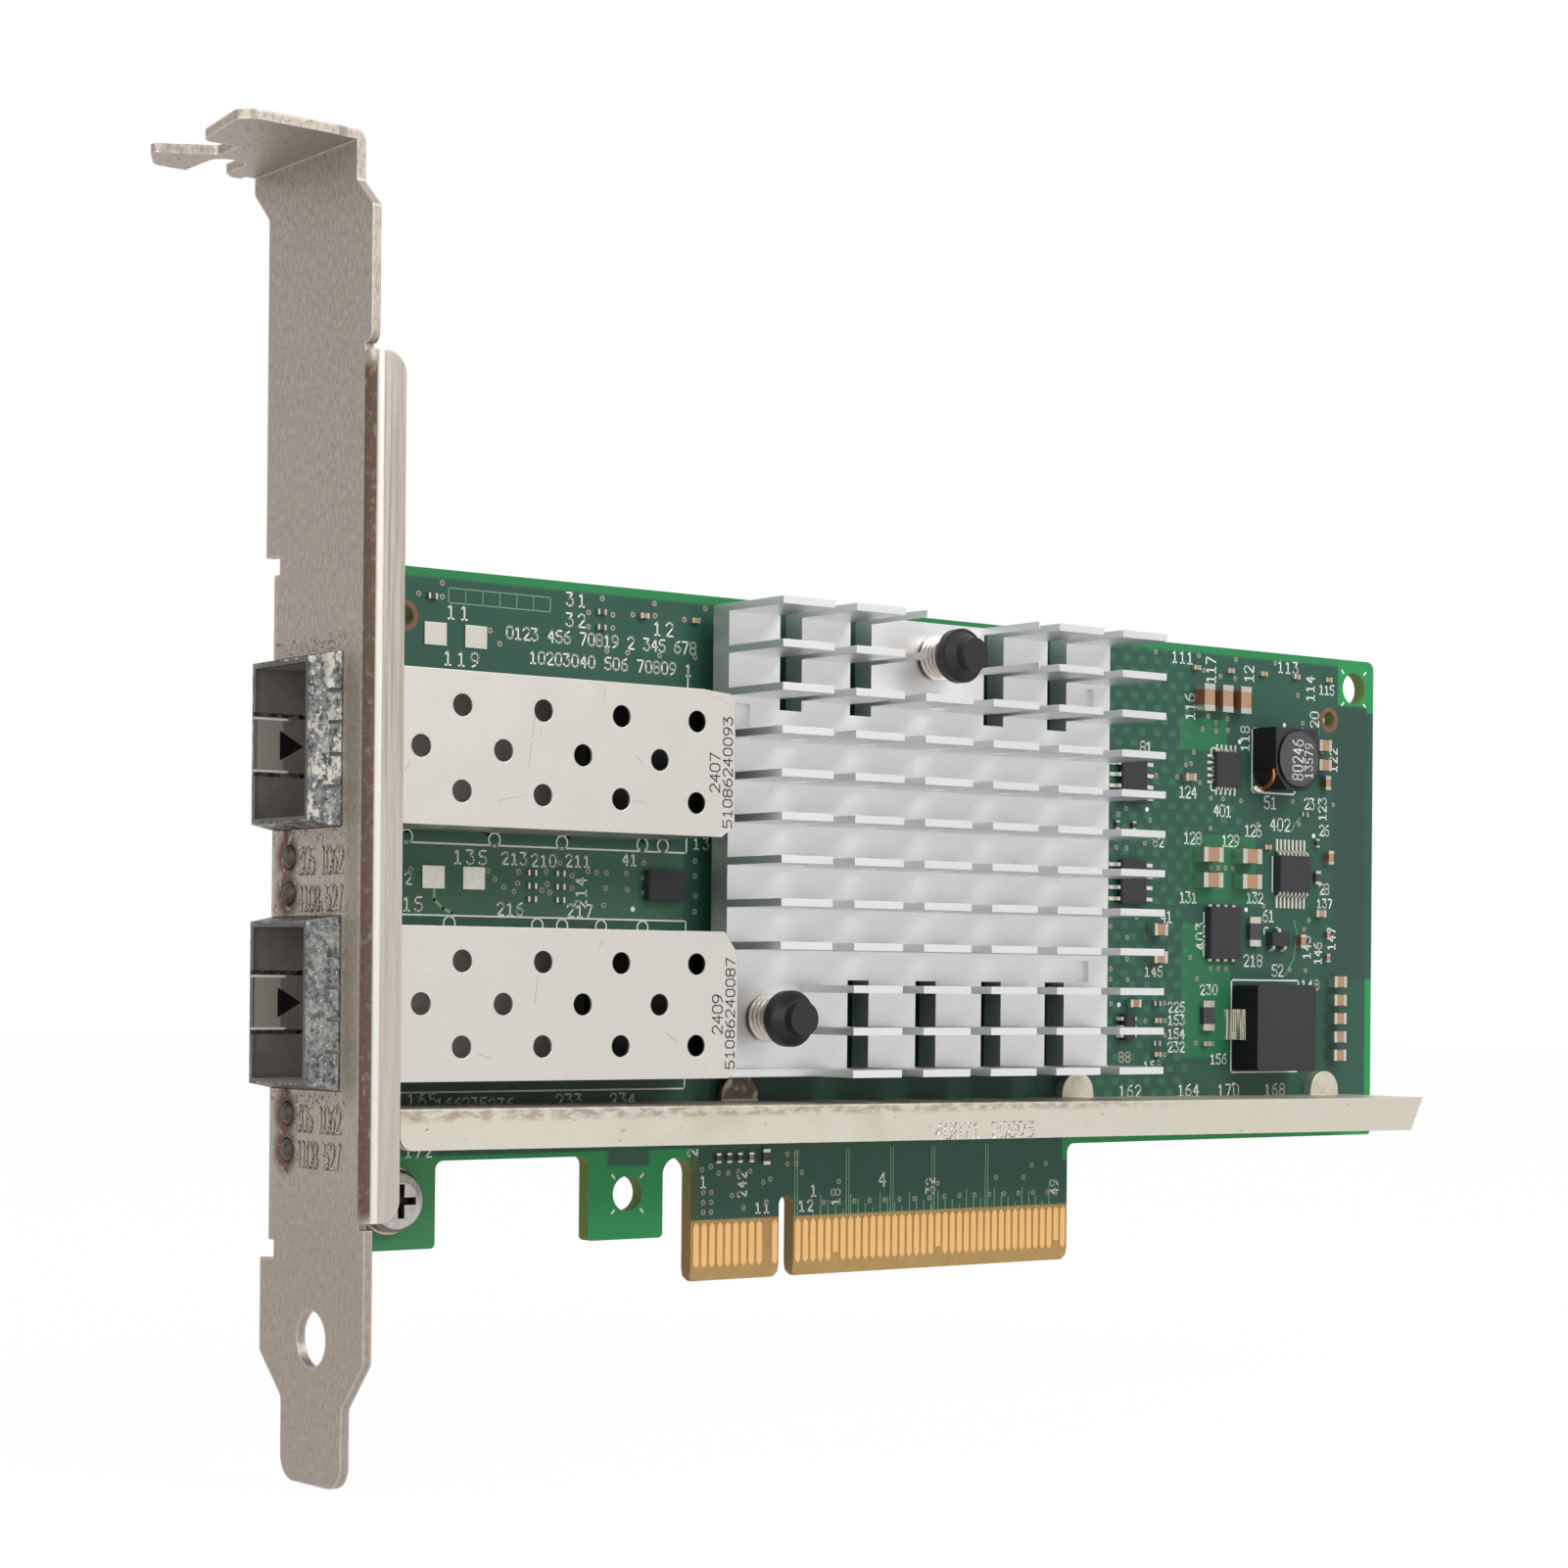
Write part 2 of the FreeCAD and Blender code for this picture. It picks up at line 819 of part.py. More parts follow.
board.pad("XZ_Plane", front, [outline], dim.board_thick, 1)
board.round("Fillet", dim.cutout_corner, "y", [outline[2], outline[3]])
board.round("Fillet", dim.slot_corner, "y", [outline[6], outline[7]])
board.round("Fillet", dim.key_corner, "y", [outline[10], outline[11]])
board.round("Fillet", dim.lower_corner, "y", [outline[14]])
board.round("Fillet", dim.board_corner, "y", [outline[16]])
board.round("Fillet", dim.outer_corner, "y", [outline[i] for i in (0, 1, 4, 5, 15, 17)])
board.round("Chamfer", dim.tongue_corner, "y", [outline[i] for i in (8, 9, 12, 13)])
# Lead-in bevels along the foot of the tongue, on both faces.
for side in (-1, 1):
    face = rear * side
    bevel = [(face, 0), (face - dim.bevel_depth * side, 0), (face, dim.bevel_height)]
    board.pocket("YZ_Plane", 0, [bevel])
holes = [
    (dim.tab_hole_x, dim.tab_hole_z, dim.tab_hole_wide),
    (dim.corner_hole_x, dim.corner_hole_z, dim.corner_hole_wide),
    (dim.plated_right_x, dim.plated_right_z, dim.plated_hole_wide),
    (dim.plated_left_x, dim.plated_left_z, dim.plated_hole_wide),
]
holes += [(x, z, dim.screw_hole) for x, z in screw_spots]
holes += [(x, z, dim.pin_shaft + dim.pin_clear * 2) for x, z in push_spots]
holes += [(x, z, dim.rivet_wide) for x, z in rivet_spots]
board.pocket("XZ_Plane", 0, [tuple(hole) for hole in holes])
pin_holes = [(x, z, dim.pin_hole) for spots in cage_pin_spots.values() for x, z in spots]
board.pocket("XZ_Plane", 0, pin_holes)
keep(board)


# ---------------------------------------------------------------- edge contacts
def contact_outline(x):
    """Gold finger with pointed ends."""
    half = dim.contact_width / 2
    low = dim.bevel_height
    high = dim.contact_top
    point = dim.contact_point
    return [
        (x - half, low + point),
        (x, low),
        (x + half, low + point),
        (x + half, high - point),
        (x, high),
        (x - half, high - point),
    ]


def contact_rows(label, face, toward, missing, short):
    """Eleven fingers left of the key and thirty-eight right of it."""
    rows = []
    for name, first, count in (
        ("left", -dim.contact_first - dim.contact_pitch * 10, 11),
        ("right", dim.contact_first, 38),
    ):
        row = Shaped(f"{label}_{name}")
        finger = contact_outline(first)
        pad = row.pad("XZ_Plane", face, [finger], dim.contact_thick, toward)
        row.repeat(pad, "x", dim.contact_pitch, count)
        absent = []
        cut_down = []
        for step in missing[name]:
            middle = first + dim.contact_pitch * step
            low = middle - dim.contact_pitch / 2
            absent.append(rectangle(low, low + dim.contact_pitch, 0, dim.cutout_top))
        for step in short[name]:
            middle = first + dim.contact_pitch * step
            low = middle - dim.contact_pitch / 2
            top = dim.contact_short_foot
            cut_down.append(rectangle(low, low + dim.contact_pitch, 0, top))
        if absent or cut_down:
            row.pocket("XZ_Plane", 0, absent + cut_down)
        rows.append(row.body)
    return keep(group(label, rows))


front_absent = {"left": [9], "right": []}
front_short = {"left": [], "right": [5, 19, 36]}
rear_absent = {"left": [], "right": []}
rear_short = {"left": [0], "right": []}
contact_rows("contacts_front", front, -1, front_absent, front_short)
contact_rows("contacts_rear", rear, 1, rear_absent, rear_short)


# ---------------------------------------------------------------- bracket
# One folded sheet: the slotted plate, a stiffening flange on the near side, a flange
# with two screw ears behind the board, and the tab at the top with its screw slot.
bracket = Shaped("bracket")
plate_x = dim.bracket_face
plate_inner = plate_x + dim.sheet_thick
far = dim.bracket_far
near = far - dim.bracket_width
far_flange_face = rear + dim.sheet_thick
far_plate = rear - dim.sheet_thick
near_flange_face = near - dim.near_flange_proud
near_plate = near + dim.near_flange_bend
waist_near = near + dim.near_waist_step
waist_far = far - dim.far_waist_step
head_near = near + dim.near_shoulder_step
head_far = far + dim.far_shoulder_step
relief = dim.near_relief
plate = [
    (waist_far, dim.bracket_bottom),
    (waist_far, dim.far_waist_low),
    (far, dim.far_waist_high),
    (far, dim.far_flange_low - dim.far_relief_wide),
    (far - dim.far_relief_deep, dim.far_flange_low - dim.far_relief_wide),
    (far - dim.far_relief_deep, dim.far_flange_high + dim.far_relief_wide),
    (far, dim.far_flange_high + dim.far_relief_wide),
    (far, dim.far_shoulder_low),
    (head_far, dim.far_shoulder_high),
    (head_far, dim.bracket_top),
    (head_near, dim.bracket_top),
    (head_near, dim.near_shoulder_high),
    (near, dim.near_shoulder_low),
    (near, dim.near_flange_high + relief),
    (near_plate, dim.near_flange_high + relief),
    (near_plate, dim.near_flange_low - relief),
    (near, dim.near_flange_low - relief),
    (near, dim.near_waist_high),
    (waist_near, dim.near_waist_low),
    (waist_near, dim.bracket_bottom),
]
bracket.pad("YZ_Plane", plate_x, [plate], dim.sheet_thick, 1)
bracket.round("Fillet", dim.tip_corner, "x", [plate[0], plate[19]])
bracket.round("Fillet", dim.board_corner, "x", [plate[i] for i in (1, 2, 17, 18)])
bracket.round("Fillet", dim.outer_corner, "x", [plate[i] for i in (4, 5, 7, 8, 11, 12)])
bracket.round("Fillet", dim.board_corner, "x", [plate[13]])
# Near flange, bent towards the card.
near_profile = [
    (plate_x, near_plate + dim.board_corner),
    (plate_x, near_flange_face),
    (plate_x + dim.near_flange_reach, near_flange_face),
    (plate_x + dim.near_flange_reach, near_flange_face + dim.sheet_thick),
    (plate_inner, near_flange_face + dim.sheet_thick),
    (plate_inner, near_plate + dim.board_corner),
]
near_length = dim.near_flange_high - dim.near_flange_low
bracket.pad("XY_Plane", dim.near_flange_low, [near_profile], near_length, 1)
near_inside = dim.near_flange_bend - dim.sheet_thick
bracket.round("Fillet", near_inside, "z", [near_profile[4]])
bracket.round("Fillet", dim.near_flange_bend, "z", [near_profile[1]])
flange_edge = plate_x + dim.near_flange_reach
flange_ends = [(flange_edge, dim.near_flange_low), (flange_edge, dim.near_flange_high)]
bracket.round("Fillet", dim.near_flange_corner, "y", flange_ends)
# Far flange, bent the same way behind the board, with an ear at each screw.
far_profile = [
    (plate_x, far - dim.far_relief_deep - dim.board_corner),
    (plate_inner, far - dim.far_relief_deep - dim.board_corner),
    (plate_inner, rear),
    (plate_x + dim.far_flange_reach, rear),
    (plate_x + dim.far_flange_reach, far_flange_face),
    (plate_x, far_flange_face),
]
far_length = dim.far_flange_high - dim.far_flange_low
bracket.pad("XY_Plane", dim.far_flange_low, [far_profile], far_length, 1)
for x, z in screw_spots:
    ear = rectangle(
        plate_x + dim.far_flange_bend,
        x + dim.ear_margin,
        z - dim.ear_margin,
        z + dim.ear_margin,
    )
    bracket.pad("XZ_Plane", rear, [ear], dim.sheet_thick, 1)
    corners = [(x + dim.ear_margin, z + dim.ear_margin * side) for side in (-1, 1)]
    bracket.round("Fillet", dim.ear_margin - dim.outer_corner, "y", corners)
bracket.round("Fillet", dim.far_flange_bend - dim.sheet_thick, "z", [far_profile[2]])
bracket.round("Fillet", dim.far_flange_bend, "z", [far_profile[5]])
# Tab folded outwards at the top, with the notch and the open screw slot.
tab_mouth_far = dim.tab_stub_far - dim.tab_stub_bevel
tab = [
    (plate_inner, head_near),
    (plate_x - dim.fold_bend, head_near),
    (plate_x - dim.fold_bend * 2, dim.tab_near),
    (dim.tab_out + dim.tab_corner_out, dim.tab_near),
    (dim.tab_out, dim.tab_near + dim.tab_corner_out),
    (dim.tab_out + dim.tab_corner_out, dim.tab_lobe_end),
    (dim.tab_notch_floor, dim.tab_lobe_end),
    (dim.tab_notch_floor, dim.tab_notch_end),
    (dim.tab_notch_floor - dim.tab_finger_neck, dim.tab_notch_end + dim.tab_notch_corner),
    (dim.tab_finger_out + dim.tab_finger_neck, dim.tab_finger_near),
    (dim.tab_finger_out, dim.tab_finger_near + dim.tab_notch_corner),
    (dim.tab_finger_out + dim.tab_finger_bevel, dim.tab_finger_far),
    (dim.screw_slot_left, dim.tab_finger_far),
    (dim.screw_slot_left, dim.screw_slot_floor),
    (dim.screw_slot_right, dim.screw_slot_floor),
    (dim.screw_slot_right, tab_mouth_far),
    (dim.screw_slot_right + dim.tab_stub_bevel, dim.tab_stub_far),
    (plate_x - dim.fold_bend, dim.tab_stub_far),
    (plate_x - dim.fold_bend, head_far),
    (plate_inner, head_far),
]
bracket.pad("XY_Plane", dim.bracket_top, [tab], dim.sheet_thick, -1)
bracket.round("Fillet", dim.screw_slot_corner, "z", [tab[13], tab[14]])
bracket.round("Fillet", dim.tab_notch_corner, "z", [tab[i] for i in (5, 6, 7, 10)])
bracket.round("Fillet", dim.tab_corner_out, "z", [tab[3], tab[4], tab[11]])
bracket.round("Fillet", dim.fold_bend, "y", [(plate_inner, dim.bracket_top)])
# Port openings, light holes and the hole in the lower tongue.
openings = []
light_spots = []
for middle_z in (dim.cage_upper_z, dim.cage_lower_z):
    opening = rectangle(port_near, port_far, middle_z - port_half, middle_z + port_half)
    openings.append(opening)
for high_z in (dim.light_upper_high, dim.light_lower_high):
    for number in range(2):
        light_spots.append((above(dim.light_depth), high_z - dim.light_pitch * number))
bracket.pocket("YZ_Plane", plate_x, openings, dim.far_flange_bend, 1)
corners = [corner for opening in openings for corner in opening]
bracket.round("Fillet", dim.port_corner, "x", corners)
plate_holes = [(y, z, dim.led_hole_wide) for y, z in light_spots]
plate_holes.append((dim.bracket_hole_y, -dim.bracket_hole_drop, dim.bracket_hole_wide))
bracket.pocket("YZ_Plane", plate_x, plate_holes, dim.sheet_thick, 1)
ear_holes = [(x, z, dim.screw_hole) for x, z in screw_spots]
bracket.pocket("XZ_Plane", rear, ear_holes, dim.sheet_thick, 1)
keep(bracket)


# ---------------------------------------------------------------- bracket screws
# Pan heads with a cross recess, each on a flat washer.
screws = []
washers = []
for number, (x, z) in enumerate(screw_spots, start=1):
    seat = above(dim.washer_thick)
    crown = seat - dim.screw_head_tall
    tip = rear + dim.sheet_thick + dim.screw_end
    screw = Shaped(f"screw_{number}")
    half_head = dim.screw_head_wide / 2
    half_shank = dim.screw_shank / 2
    profile = [
        (0, tip),
        (half_shank - dim.washer_thick, tip),
        (half_shank, tip - dim.washer_thick),
        (half_shank, seat),
        (half_head, seat),
        (half_head, seat - dim.screw_head_tall * 0.45),
        (half_head * 0.86, seat - dim.screw_head_tall * 0.8),
        (half_head * 0.6, crown),
        (0, crown),
    ]
    screw.turn(x, z, profile)
    cross = [
        centred(x, z, dim.recess_long, dim.recess_wide),
    ]
    screw.pocket("XZ_Plane", crown, cross, dim.recess_deep, 1)
    cross = [
        centred(x, z, dim.recess_wide, dim.recess_long),
    ]
    screw.pocket("XZ_Plane", crown, cross, dim.recess_deep, 1)
    screws.append(screw.body)
    disc = rod(f"washer_disc_{number}", x, front, z, dim.washer_wide, dim.washer_thick, "-y")
    bore = rod(f"washer_bore_{number}", x, front, z, dim.screw_hole, dim.washer_thick, "-y")
    washers.append(difference(f"washer_{number}", disc, bore))
keep(group("bracket_screws", screws))
keep(group("screw_washers", washers))


# ---------------------------------------------------------------- transceiver cages
def cage_cover(port, middle, back, vent_shift, top_bevel, low_bevel):
    """Folded cover with vent holes, rear corners cut off and pins into the board."""
    cover = Shaped(f"cage_{port}_cover")
    low = middle - cage_half
    high = middle + cage_half
    wall = dim.cage_wall
    plan = [
        (dim.cage_front, low),
        (back - low_bevel[0], low),
        (back, low + low_bevel[1]),
        (back, high - top_bevel[1]),
        (back - top_bevel[0], high),
        (dim.cage_front, high),
    ]
    hollow = [
        (dim.cage_front - wall, low + wall),
        (back - low_bevel[0], low + wall),
        (back - wall, low + wall + low_bevel[1]),
        (back - wall, high - wall - top_bevel[1]),
        (back - top_bevel[0], high - wall),
        (dim.cage_front - wall, high - wall),
    ]
    cover.pad("XZ_Plane", front, [plan], dim.cage_deep, -1)
    cover.pocket("XZ_Plane", front, [hollow], dim.cage_deep - wall, -1)
    vents = [
        (dim.vent_outer_x + vent_shift, middle + dim.vent_rise, dim.vent_wide),
        (dim.vent_middle_x + vent_shift, middle, dim.vent_wide),
        (dim.vent_outer_x + vent_shift, middle - dim.vent_rise, dim.vent_wide),
    ]
    face = above(dim.cage_deep)
    vent = cover.pocket("XZ_Plane", face, vents, wall, 1)
    cover.repeat(vent, "x", dim.vent_pitch, 4)
    legs = [centred(x, z, dim.pin_wide, wall) for x, z in cage_pin_spots[port]]
    cover.pad("XZ_Plane", front, legs, dim.board_thick + dim.pin_proud, 1)
    return keep(cover)


def cage_base(port, middle):
    """Sheet against the board, with the latch tongue cut free at the mouth."""
    base = Shaped(f"cage_{port}_base")
    inside = cage_half - dim.cage_wall
    sheet = rectangle(dim.cage_front, dim.base_rear, middle - inside, middle + inside)
    base.pad("XZ_Plane", front, [sheet], dim.cage_wall, -1)
    cuts = []
    for side in (-1, 1):
        slit_z = middle + dim.latch_half * side
        slit = rectangle(
            dim.cage_front - dim.cage_wall,
            dim.latch_root,
            slit_z - dim.latch_slit / 2,
            slit_z + dim.latch_slit / 2,
        )
        cuts.append(slit)
    catch = [
        (dim.catch_base_x, middle - dim.catch_half),
        (dim.catch_apex_x, middle),
        (dim.catch_base_x, middle + dim.catch_half),
    ]
    base.pocket("XZ_Plane", 0, cuts + [catch])
    return keep(base)


def mouth_spring(port, middle):
    """Ring of contact fingers that bulges out to the bracket's opening."""
    spring = Shaped(f"cage_{port}_spring")
    sheet = dim.spring_sheet
    reach_z = port_half - dim.spring_gap
    near_crest = port_near + dim.spring_gap
    near_tight = above(dim.cage_deep)
    stations = [
        (dim.cage_front, near_tight - sheet, cage_half + sheet),
        (dim.spring_crest_front, near_crest, reach_z),
        (dim.spring_crest_rear, near_crest, reach_z),
        (dim.spring_rear, near_tight - sheet, cage_half + sheet),
    ]
    for kind, inset in (("Additive", Size(0)), ("Subtractive", sheet)):
        sections = []
        for x, near_y, half in stations:
            ring = rectangle(
                near_y + inset,
                front + sheet - inset,
                middle - half + inset,
                middle + half - inset,
            )
            sections.append(spring.sketch("YZ_Plane", x, [ring]))
        loft = spring.body.newObject(f"PartDesign::{kind}Loft", spring.name("loft"))
        loft.Profile = sections[0]
        loft.Sections = sections[1:]
        loft.Ruled = True
        spring.body.Tip = loft
        doc.recompute()
    slits = []
    for number in range(4):
        slit_z = middle + dim.slit_pitch * (1.5 - number)
        half = dim.slit_wide / 2
        slit = rectangle(dim.slit_front, dim.slit_rear, slit_z - half, slit_z + half)
        slits.append(slit)
    near_start = near_crest - sheet
    spring.pocket("XZ_Plane", near_start, slits, near_tight - near_start, 1)
    side_slits = []
    for number in range(3):
        slit_y = above(dim.cage_deep / 2) + dim.side_slit_pitch * (number - 1)
        half = dim.slit_wide / 2
        slit = [
            (dim.slit_front, slit_y - half),
            (dim.slit_rear, slit_y - half + dim.slit_wide),
            (dim.slit_rear, slit_y + half + dim.slit_wide),
            (dim.slit_front, slit_y + half),
        ]
        side_slits.append(slit)
    spring.pocket("XY_Plane", 0, side_slits)
    return keep(spring)


def host_socket(port, middle):
    """Card-edge socket at the back of the cage."""
    socket = Shaped(f"host_socket_{port}")
    half = dim.socket_tall / 2
    shell = rectangle(dim.socket_front, dim.socket_rear, middle - half, middle + half)
    socket.pad("XZ_Plane", front, [shell], dim.socket_deep, -1)
    half = dim.socket_slot_tall / 2
    low = above(dim.socket_slot_high)
    high = above(dim.socket_slot_low)
    mouth = rectangle(low, high, middle - half, middle + half)
    socket.pocket("YZ_Plane", dim.socket_front, [mouth], dim.socket_slot_depth, 1)
    return keep(socket)


upper_top = (dim.upper_top_bevel_x, dim.upper_top_bevel_z)
upper_low = (dim.upper_low_bevel_x, dim.upper_low_bevel_z)
lower_top = (dim.lower_top_bevel_x, dim.lower_top_bevel_z)
lower_low = (dim.lower_low_bevel_x, dim.lower_low_bevel_z)
cage_cover("upper", dim.cage_upper_z, dim.cage_upper_rear, 0, upper_top, upper_low)
cage_cover("lower", dim.cage_lower_z, dim.cage_lower_rear, dim.vent_lower_shift,
           lower_top, lower_low)
for port, middle in (("upper", dim.cage_upper_z), ("lower", dim.cage_lower_z)):
    cage_base(port, middle)
    mouth_spring(port, middle)
    host_socket(port, middle)


# ---------------------------------------------------------------- status lights
# A two-light housing behind the bracket for each port, with tapered lenses in its holes.
housings = []
lenses = []
housing_front = plate_inner + dim.light_box_gap
for number, high_z in enumerate((dim.light_upper_high, dim.light_lower_high), start=1):
    housings.append(block(
        f"light_box_{number}",
        (housing_front, dim.light_box_right),
        (above(dim.light_box_deep), front),
        (high_z - dim.light_pitch - dim.light_box_margin, high_z + dim.light_box_margin),
    ))
for number, (y, z) in enumerate(light_spots, start=1):
    length = housing_front - plate_x
    stem = rod(f"lens_stem_{number}", housing_front, y, z, dim.light_wide, length, "-x")
    nose = doc.addObject("Part::Cone", f"lens_nose_{number}")
    nose.Placement = FreeCAD.Placement(Vector(), TURNS["-x"])
    bind(nose, "Radius1", dim.light_wide / 2)
    bind(nose, "Radius2", dim.light_wide / 4)
    bind(nose, "Height", dim.light_proud)
    place(nose, plate_x, y, z)
    lenses.append(union(f"lens_{number}", [stem, nose]))
keep(group("light_housings", housings))
keep(group("light_lenses", lenses))


# ---------------------------------------------------------------- heat sink
# Extruded base with twelve fins, cross-cut into blocks, with bays for the push pins.
sink = Shaped("heatsink")
sink_low = dim.sink_low_fin - dim.fin_thick / 2 - dim.fin_margin
top_fin = dim.sink_low_fin + dim.fin_pitch * (dim.fin_count - 1)
sink_high = top_fin + dim.fin_thick / 2
sink_back = above(dim.sink_lift)
sink_floor = sink_back - dim.sink_base
sink_tips = sink_floor - dim.fin_tall
base_plan = rectangle(dim.sink_left, dim.sink_right, sink_low, sink_high)
sink.pad("XZ_Plane", sink_back, [base_plan], dim.sink_base, -1)
half_fin = dim.fin_thick / 2
fin_plan = rectangle(
    dim.sink_left,
    dim.sink_right,
    dim.sink_low_fin - half_fin,
    dim.sink_low_fin + half_fin,
)
fin = sink.pad("XZ_Plane", sink_floor, [fin_plan], dim.fin_tall, -1)
sink.repeat(fin, "z", dim.fin_pitch, dim.fin_count)
half_cut = dim.cut_wide / 2
beyond = dim.fin_pitch
cross_cut = rectangle(
    dim.cut_first_x - half_cut,
    dim.cut_first_x + half_cut,
    sink_low - beyond,
    sink_high + beyond,
)
cut = sink.pocket("XZ_Plane", sink_tips, [cross_cut], dim.fin_tall - dim.cut_stub, 1)
sink.repeat(cut, "x", dim.cut_pitch, dim.cut_count)
slots = []
for number in range(5):
    middle = dim.cut_first_x + dim.cut_pitch * number
    left = middle - half_cut
    right = middle + half_cut
    if number != 2:
        slots.append(rectangle(left, right, dim.upper_cut_floor, sink_high + beyond))
    if number != 0:
        slots.append(rectangle(left, right, sink_low - beyond, dim.lower_cut_floor))
sink.pocket("XZ_Plane", 0, slots)
upper_bay = rectangle(
    dim.upper_bay_left,
    dim.upper_bay_right,
    dim.upper_bay_low,
    sink_high + beyond,
)
lower_stub = dim.sink_low_fin + half_fin
lower_bay = rectangle(
    dim.sink_left - beyond,
    dim.lower_bay_right,
    lower_stub,
    dim.lower_bay_high,
)
sink.pocket("XZ_Plane", sink_tips, [upper_bay, lower_bay], dim.fin_tall, 1)
stub_zone = rectangle(
    dim.sink_left - beyond,
    dim.lower_bay_right,
    sink_low - beyond,
    lower_stub,
)
sink.pocket("XZ_Plane", sink_tips, [stub_zone], dim.fin_tall - dim.lower_bay_stub, 1)
dimples = [
    centred(dim.dimple_right_x, dim.dimple_right_high, dim.dimple_wide, dim.dimple_tall),
    centred(dim.dimple_low_x, dim.dimple_right_low, dim.dimple_wide, dim.dimple_tall),
    centred(dim.dimple_left_x, dim.dimple_left_z, dim.dimple_wide, dim.dimple_tall),
]
sink.pocket("XZ_Plane", sink_floor, dimples, dim.dimple_deep, 1)
pin_bores = [(x, z, dim.pin_shaft + dim.pin_clear * 2) for x, z in push_spots]
sink.pocket("XZ_Plane", 0, pin_bores)
keep(sink)

# Controller package and the thermal pad that fills the gap to the heat sink.
half_chip = dim.chip_side / 2
half_pad = dim.thermal_side / 2
keep(block(
    "controller_package",
    (dim.chip_x - half_chip, dim.chip_x + half_chip),
    (above(dim.chip_tall), front),
    (dim.chip_z - half_chip, dim.chip_z + half_chip),
))
keep(block(
    "thermal_pad",
    (dim.chip_x - half_pad, dim.chip_x + half_pad),
    (sink_back, above(dim.chip_tall)),
    (dim.chip_z - half_pad, dim.chip_z + half_pad),
))


# ---------------------------------------------------------------- push pins
def push_pin(label, x, z):
    """Headed pin through the heat sink and the board, with a split barb behind."""
    pin = Shaped(label)
    shaft = dim.pin_shaft / 2
    barb_seat = rear + dim.barb_gap
    barb_end = barb_seat + dim.barb_tall
    profile = [
        (0, above(dim.pin_cap_high)),
        (dim.pin_cap_wide / 2, above(dim.pin_cap_high)),
        (dim.pin_cap_wide / 2, above(dim.pin_cone_high)),
        (dim.pin_cone_wide / 2, above(dim.pin_cone_high)),
        (dim.pin_neck_wide / 2, above(dim.pin_flange_high)),
        (dim.pin_flange_wide / 2, above(dim.pin_flange_high)),
        (dim.pin_flange_wide / 2, above(dim.pin_flange_low)),
        (shaft, above(dim.pin_flange_low)),
        (shaft, barb_seat),
        (dim.barb_wide / 2, barb_seat),
        (dim.barb_tip / 2, barb_end),
        (0, barb_end),
    ]
    pin.turn(x, z, profile)
    slit = centred(x, z, dim.barb_slit, dim.barb_wide * 1.2)
    pin.pocket("XZ_Plane", barb_end, [slit], dim.barb_tall + dim.board_thick, -1)
    return keep(pin)


def pin_spring(label, x, z):
    """Wire coil between the heat sink's base and the pin's flange."""
    wire = dim.coil_wire.value
    radius = (dim.coil_wide.value - wire) / 2
    free = dim.pin_flange_low.value - dim.sink_lift.value - dim.sink_base.value
    rise = free - wire * 1.0996
    pitch = rise / dim.coil_turns.value
    path = Part.makeHelix(pitch, rise, radius)
    corner = wire / 2 * 1.0996
    turns = [math.radians(60 * step + 30) for step in range(7)]
    ring = [Vector(radius + corner * math.cos(a), 0, corner * math.sin(a)) for a in turns]
    coil = Part.Wire(path.Edges).makePipeShell([Part.makePolygon(ring)], True, True)
    spring = doc.addObject("Part::Feature", label)
    spring.Label = label
    spring.Shape = coil
    spring.Placement = FreeCAD.Placement(Vector(), TURNS["-y"])
    place(spring, x, sink_floor - dim.coil_wire * 0.5498, z)
    return keep(spring)


for name, (x, z) in zip(("lower", "upper"), push_spots):
    push_pin(f"push_pin_{name}", x, z)
    pin_spring(f"pin_spring_{name}", x, z)


# ---------------------------------------------------------------- stiffener bar
# Angle section that falls slightly along the card: a shelf off the board, a lip
# along the shelf's edge, and three rounded ears bent up flat against the board.
bar = Shaped("stiffener_bar")


def bar_level(x, height):
    """Height of the bar's sloping top line at x, less a drop."""
    return (x, dim.bar_top - dim.bar_slope * x - height)


lip_front = above(dim.bar_reach)
lip_back = lip_front + dim.bar_sheet
lower_right = dim.bar_right - dim.bar_right_slant
lip = [
    bar_level(dim.bar_left, dim.bar_tall),
    bar_level(lower_right, dim.bar_tall),
    bar_level(dim.bar_right, 0),
    bar_level(dim.bar_left, 0),
]
shelf = [
    bar_level(dim.bar_left, dim.bar_sheet),
    bar_level(dim.bar_right, dim.bar_sheet),
    bar_level(dim.bar_right, 0),
    bar_level(dim.bar_left, 0),
]
bar.pad("XZ_Plane", lip_front, [lip], dim.bar_sheet, 1)
bar.round("Fillet", dim.bar_corner, "y", [lip[0]])
bar.pad("XZ_Plane", lip_back, [shelf], dim.bar_reach - dim.bar_sheet, 1)
half_ear = dim.ear_wide / 2
for x in ear_places:
    ear = [
        bar_level(x - half_ear, dim.bar_sheet),
        bar_level(x + half_ear, dim.bar_sheet),
        bar_level(x + half_ear, -dim.ear_rise),
        bar_level(x - half_ear, -dim.ear_rise),
    ]
    bar.pad("XZ_Plane", front, [ear], dim.bar_sheet, -1)
    bar.round("Fillet", half_ear - dim.bar_slope, "y", [ear[2], ear[3]])
bar.pocket("XZ_Plane", front, [(x, z, dim.rivet_wide) for x, z in rivet_spots], dim.bar_sheet, -1)
keep(bar)
rivets = []
for number, (x, z) in enumerate(rivet_spots, start=1):
    face = above(dim.bar_sheet)
    shank = rod(f"rivet_shank_{number}", x, face, z, dim.rivet_wide, rear - face, "+y")
    head = rod(f"rivet_head_{number}", x, rear, z, dim.rivet_head, dim.rivet_head_thick, "+y")
    rivets.append(union(f"rivet_{number}", [shank, head]))
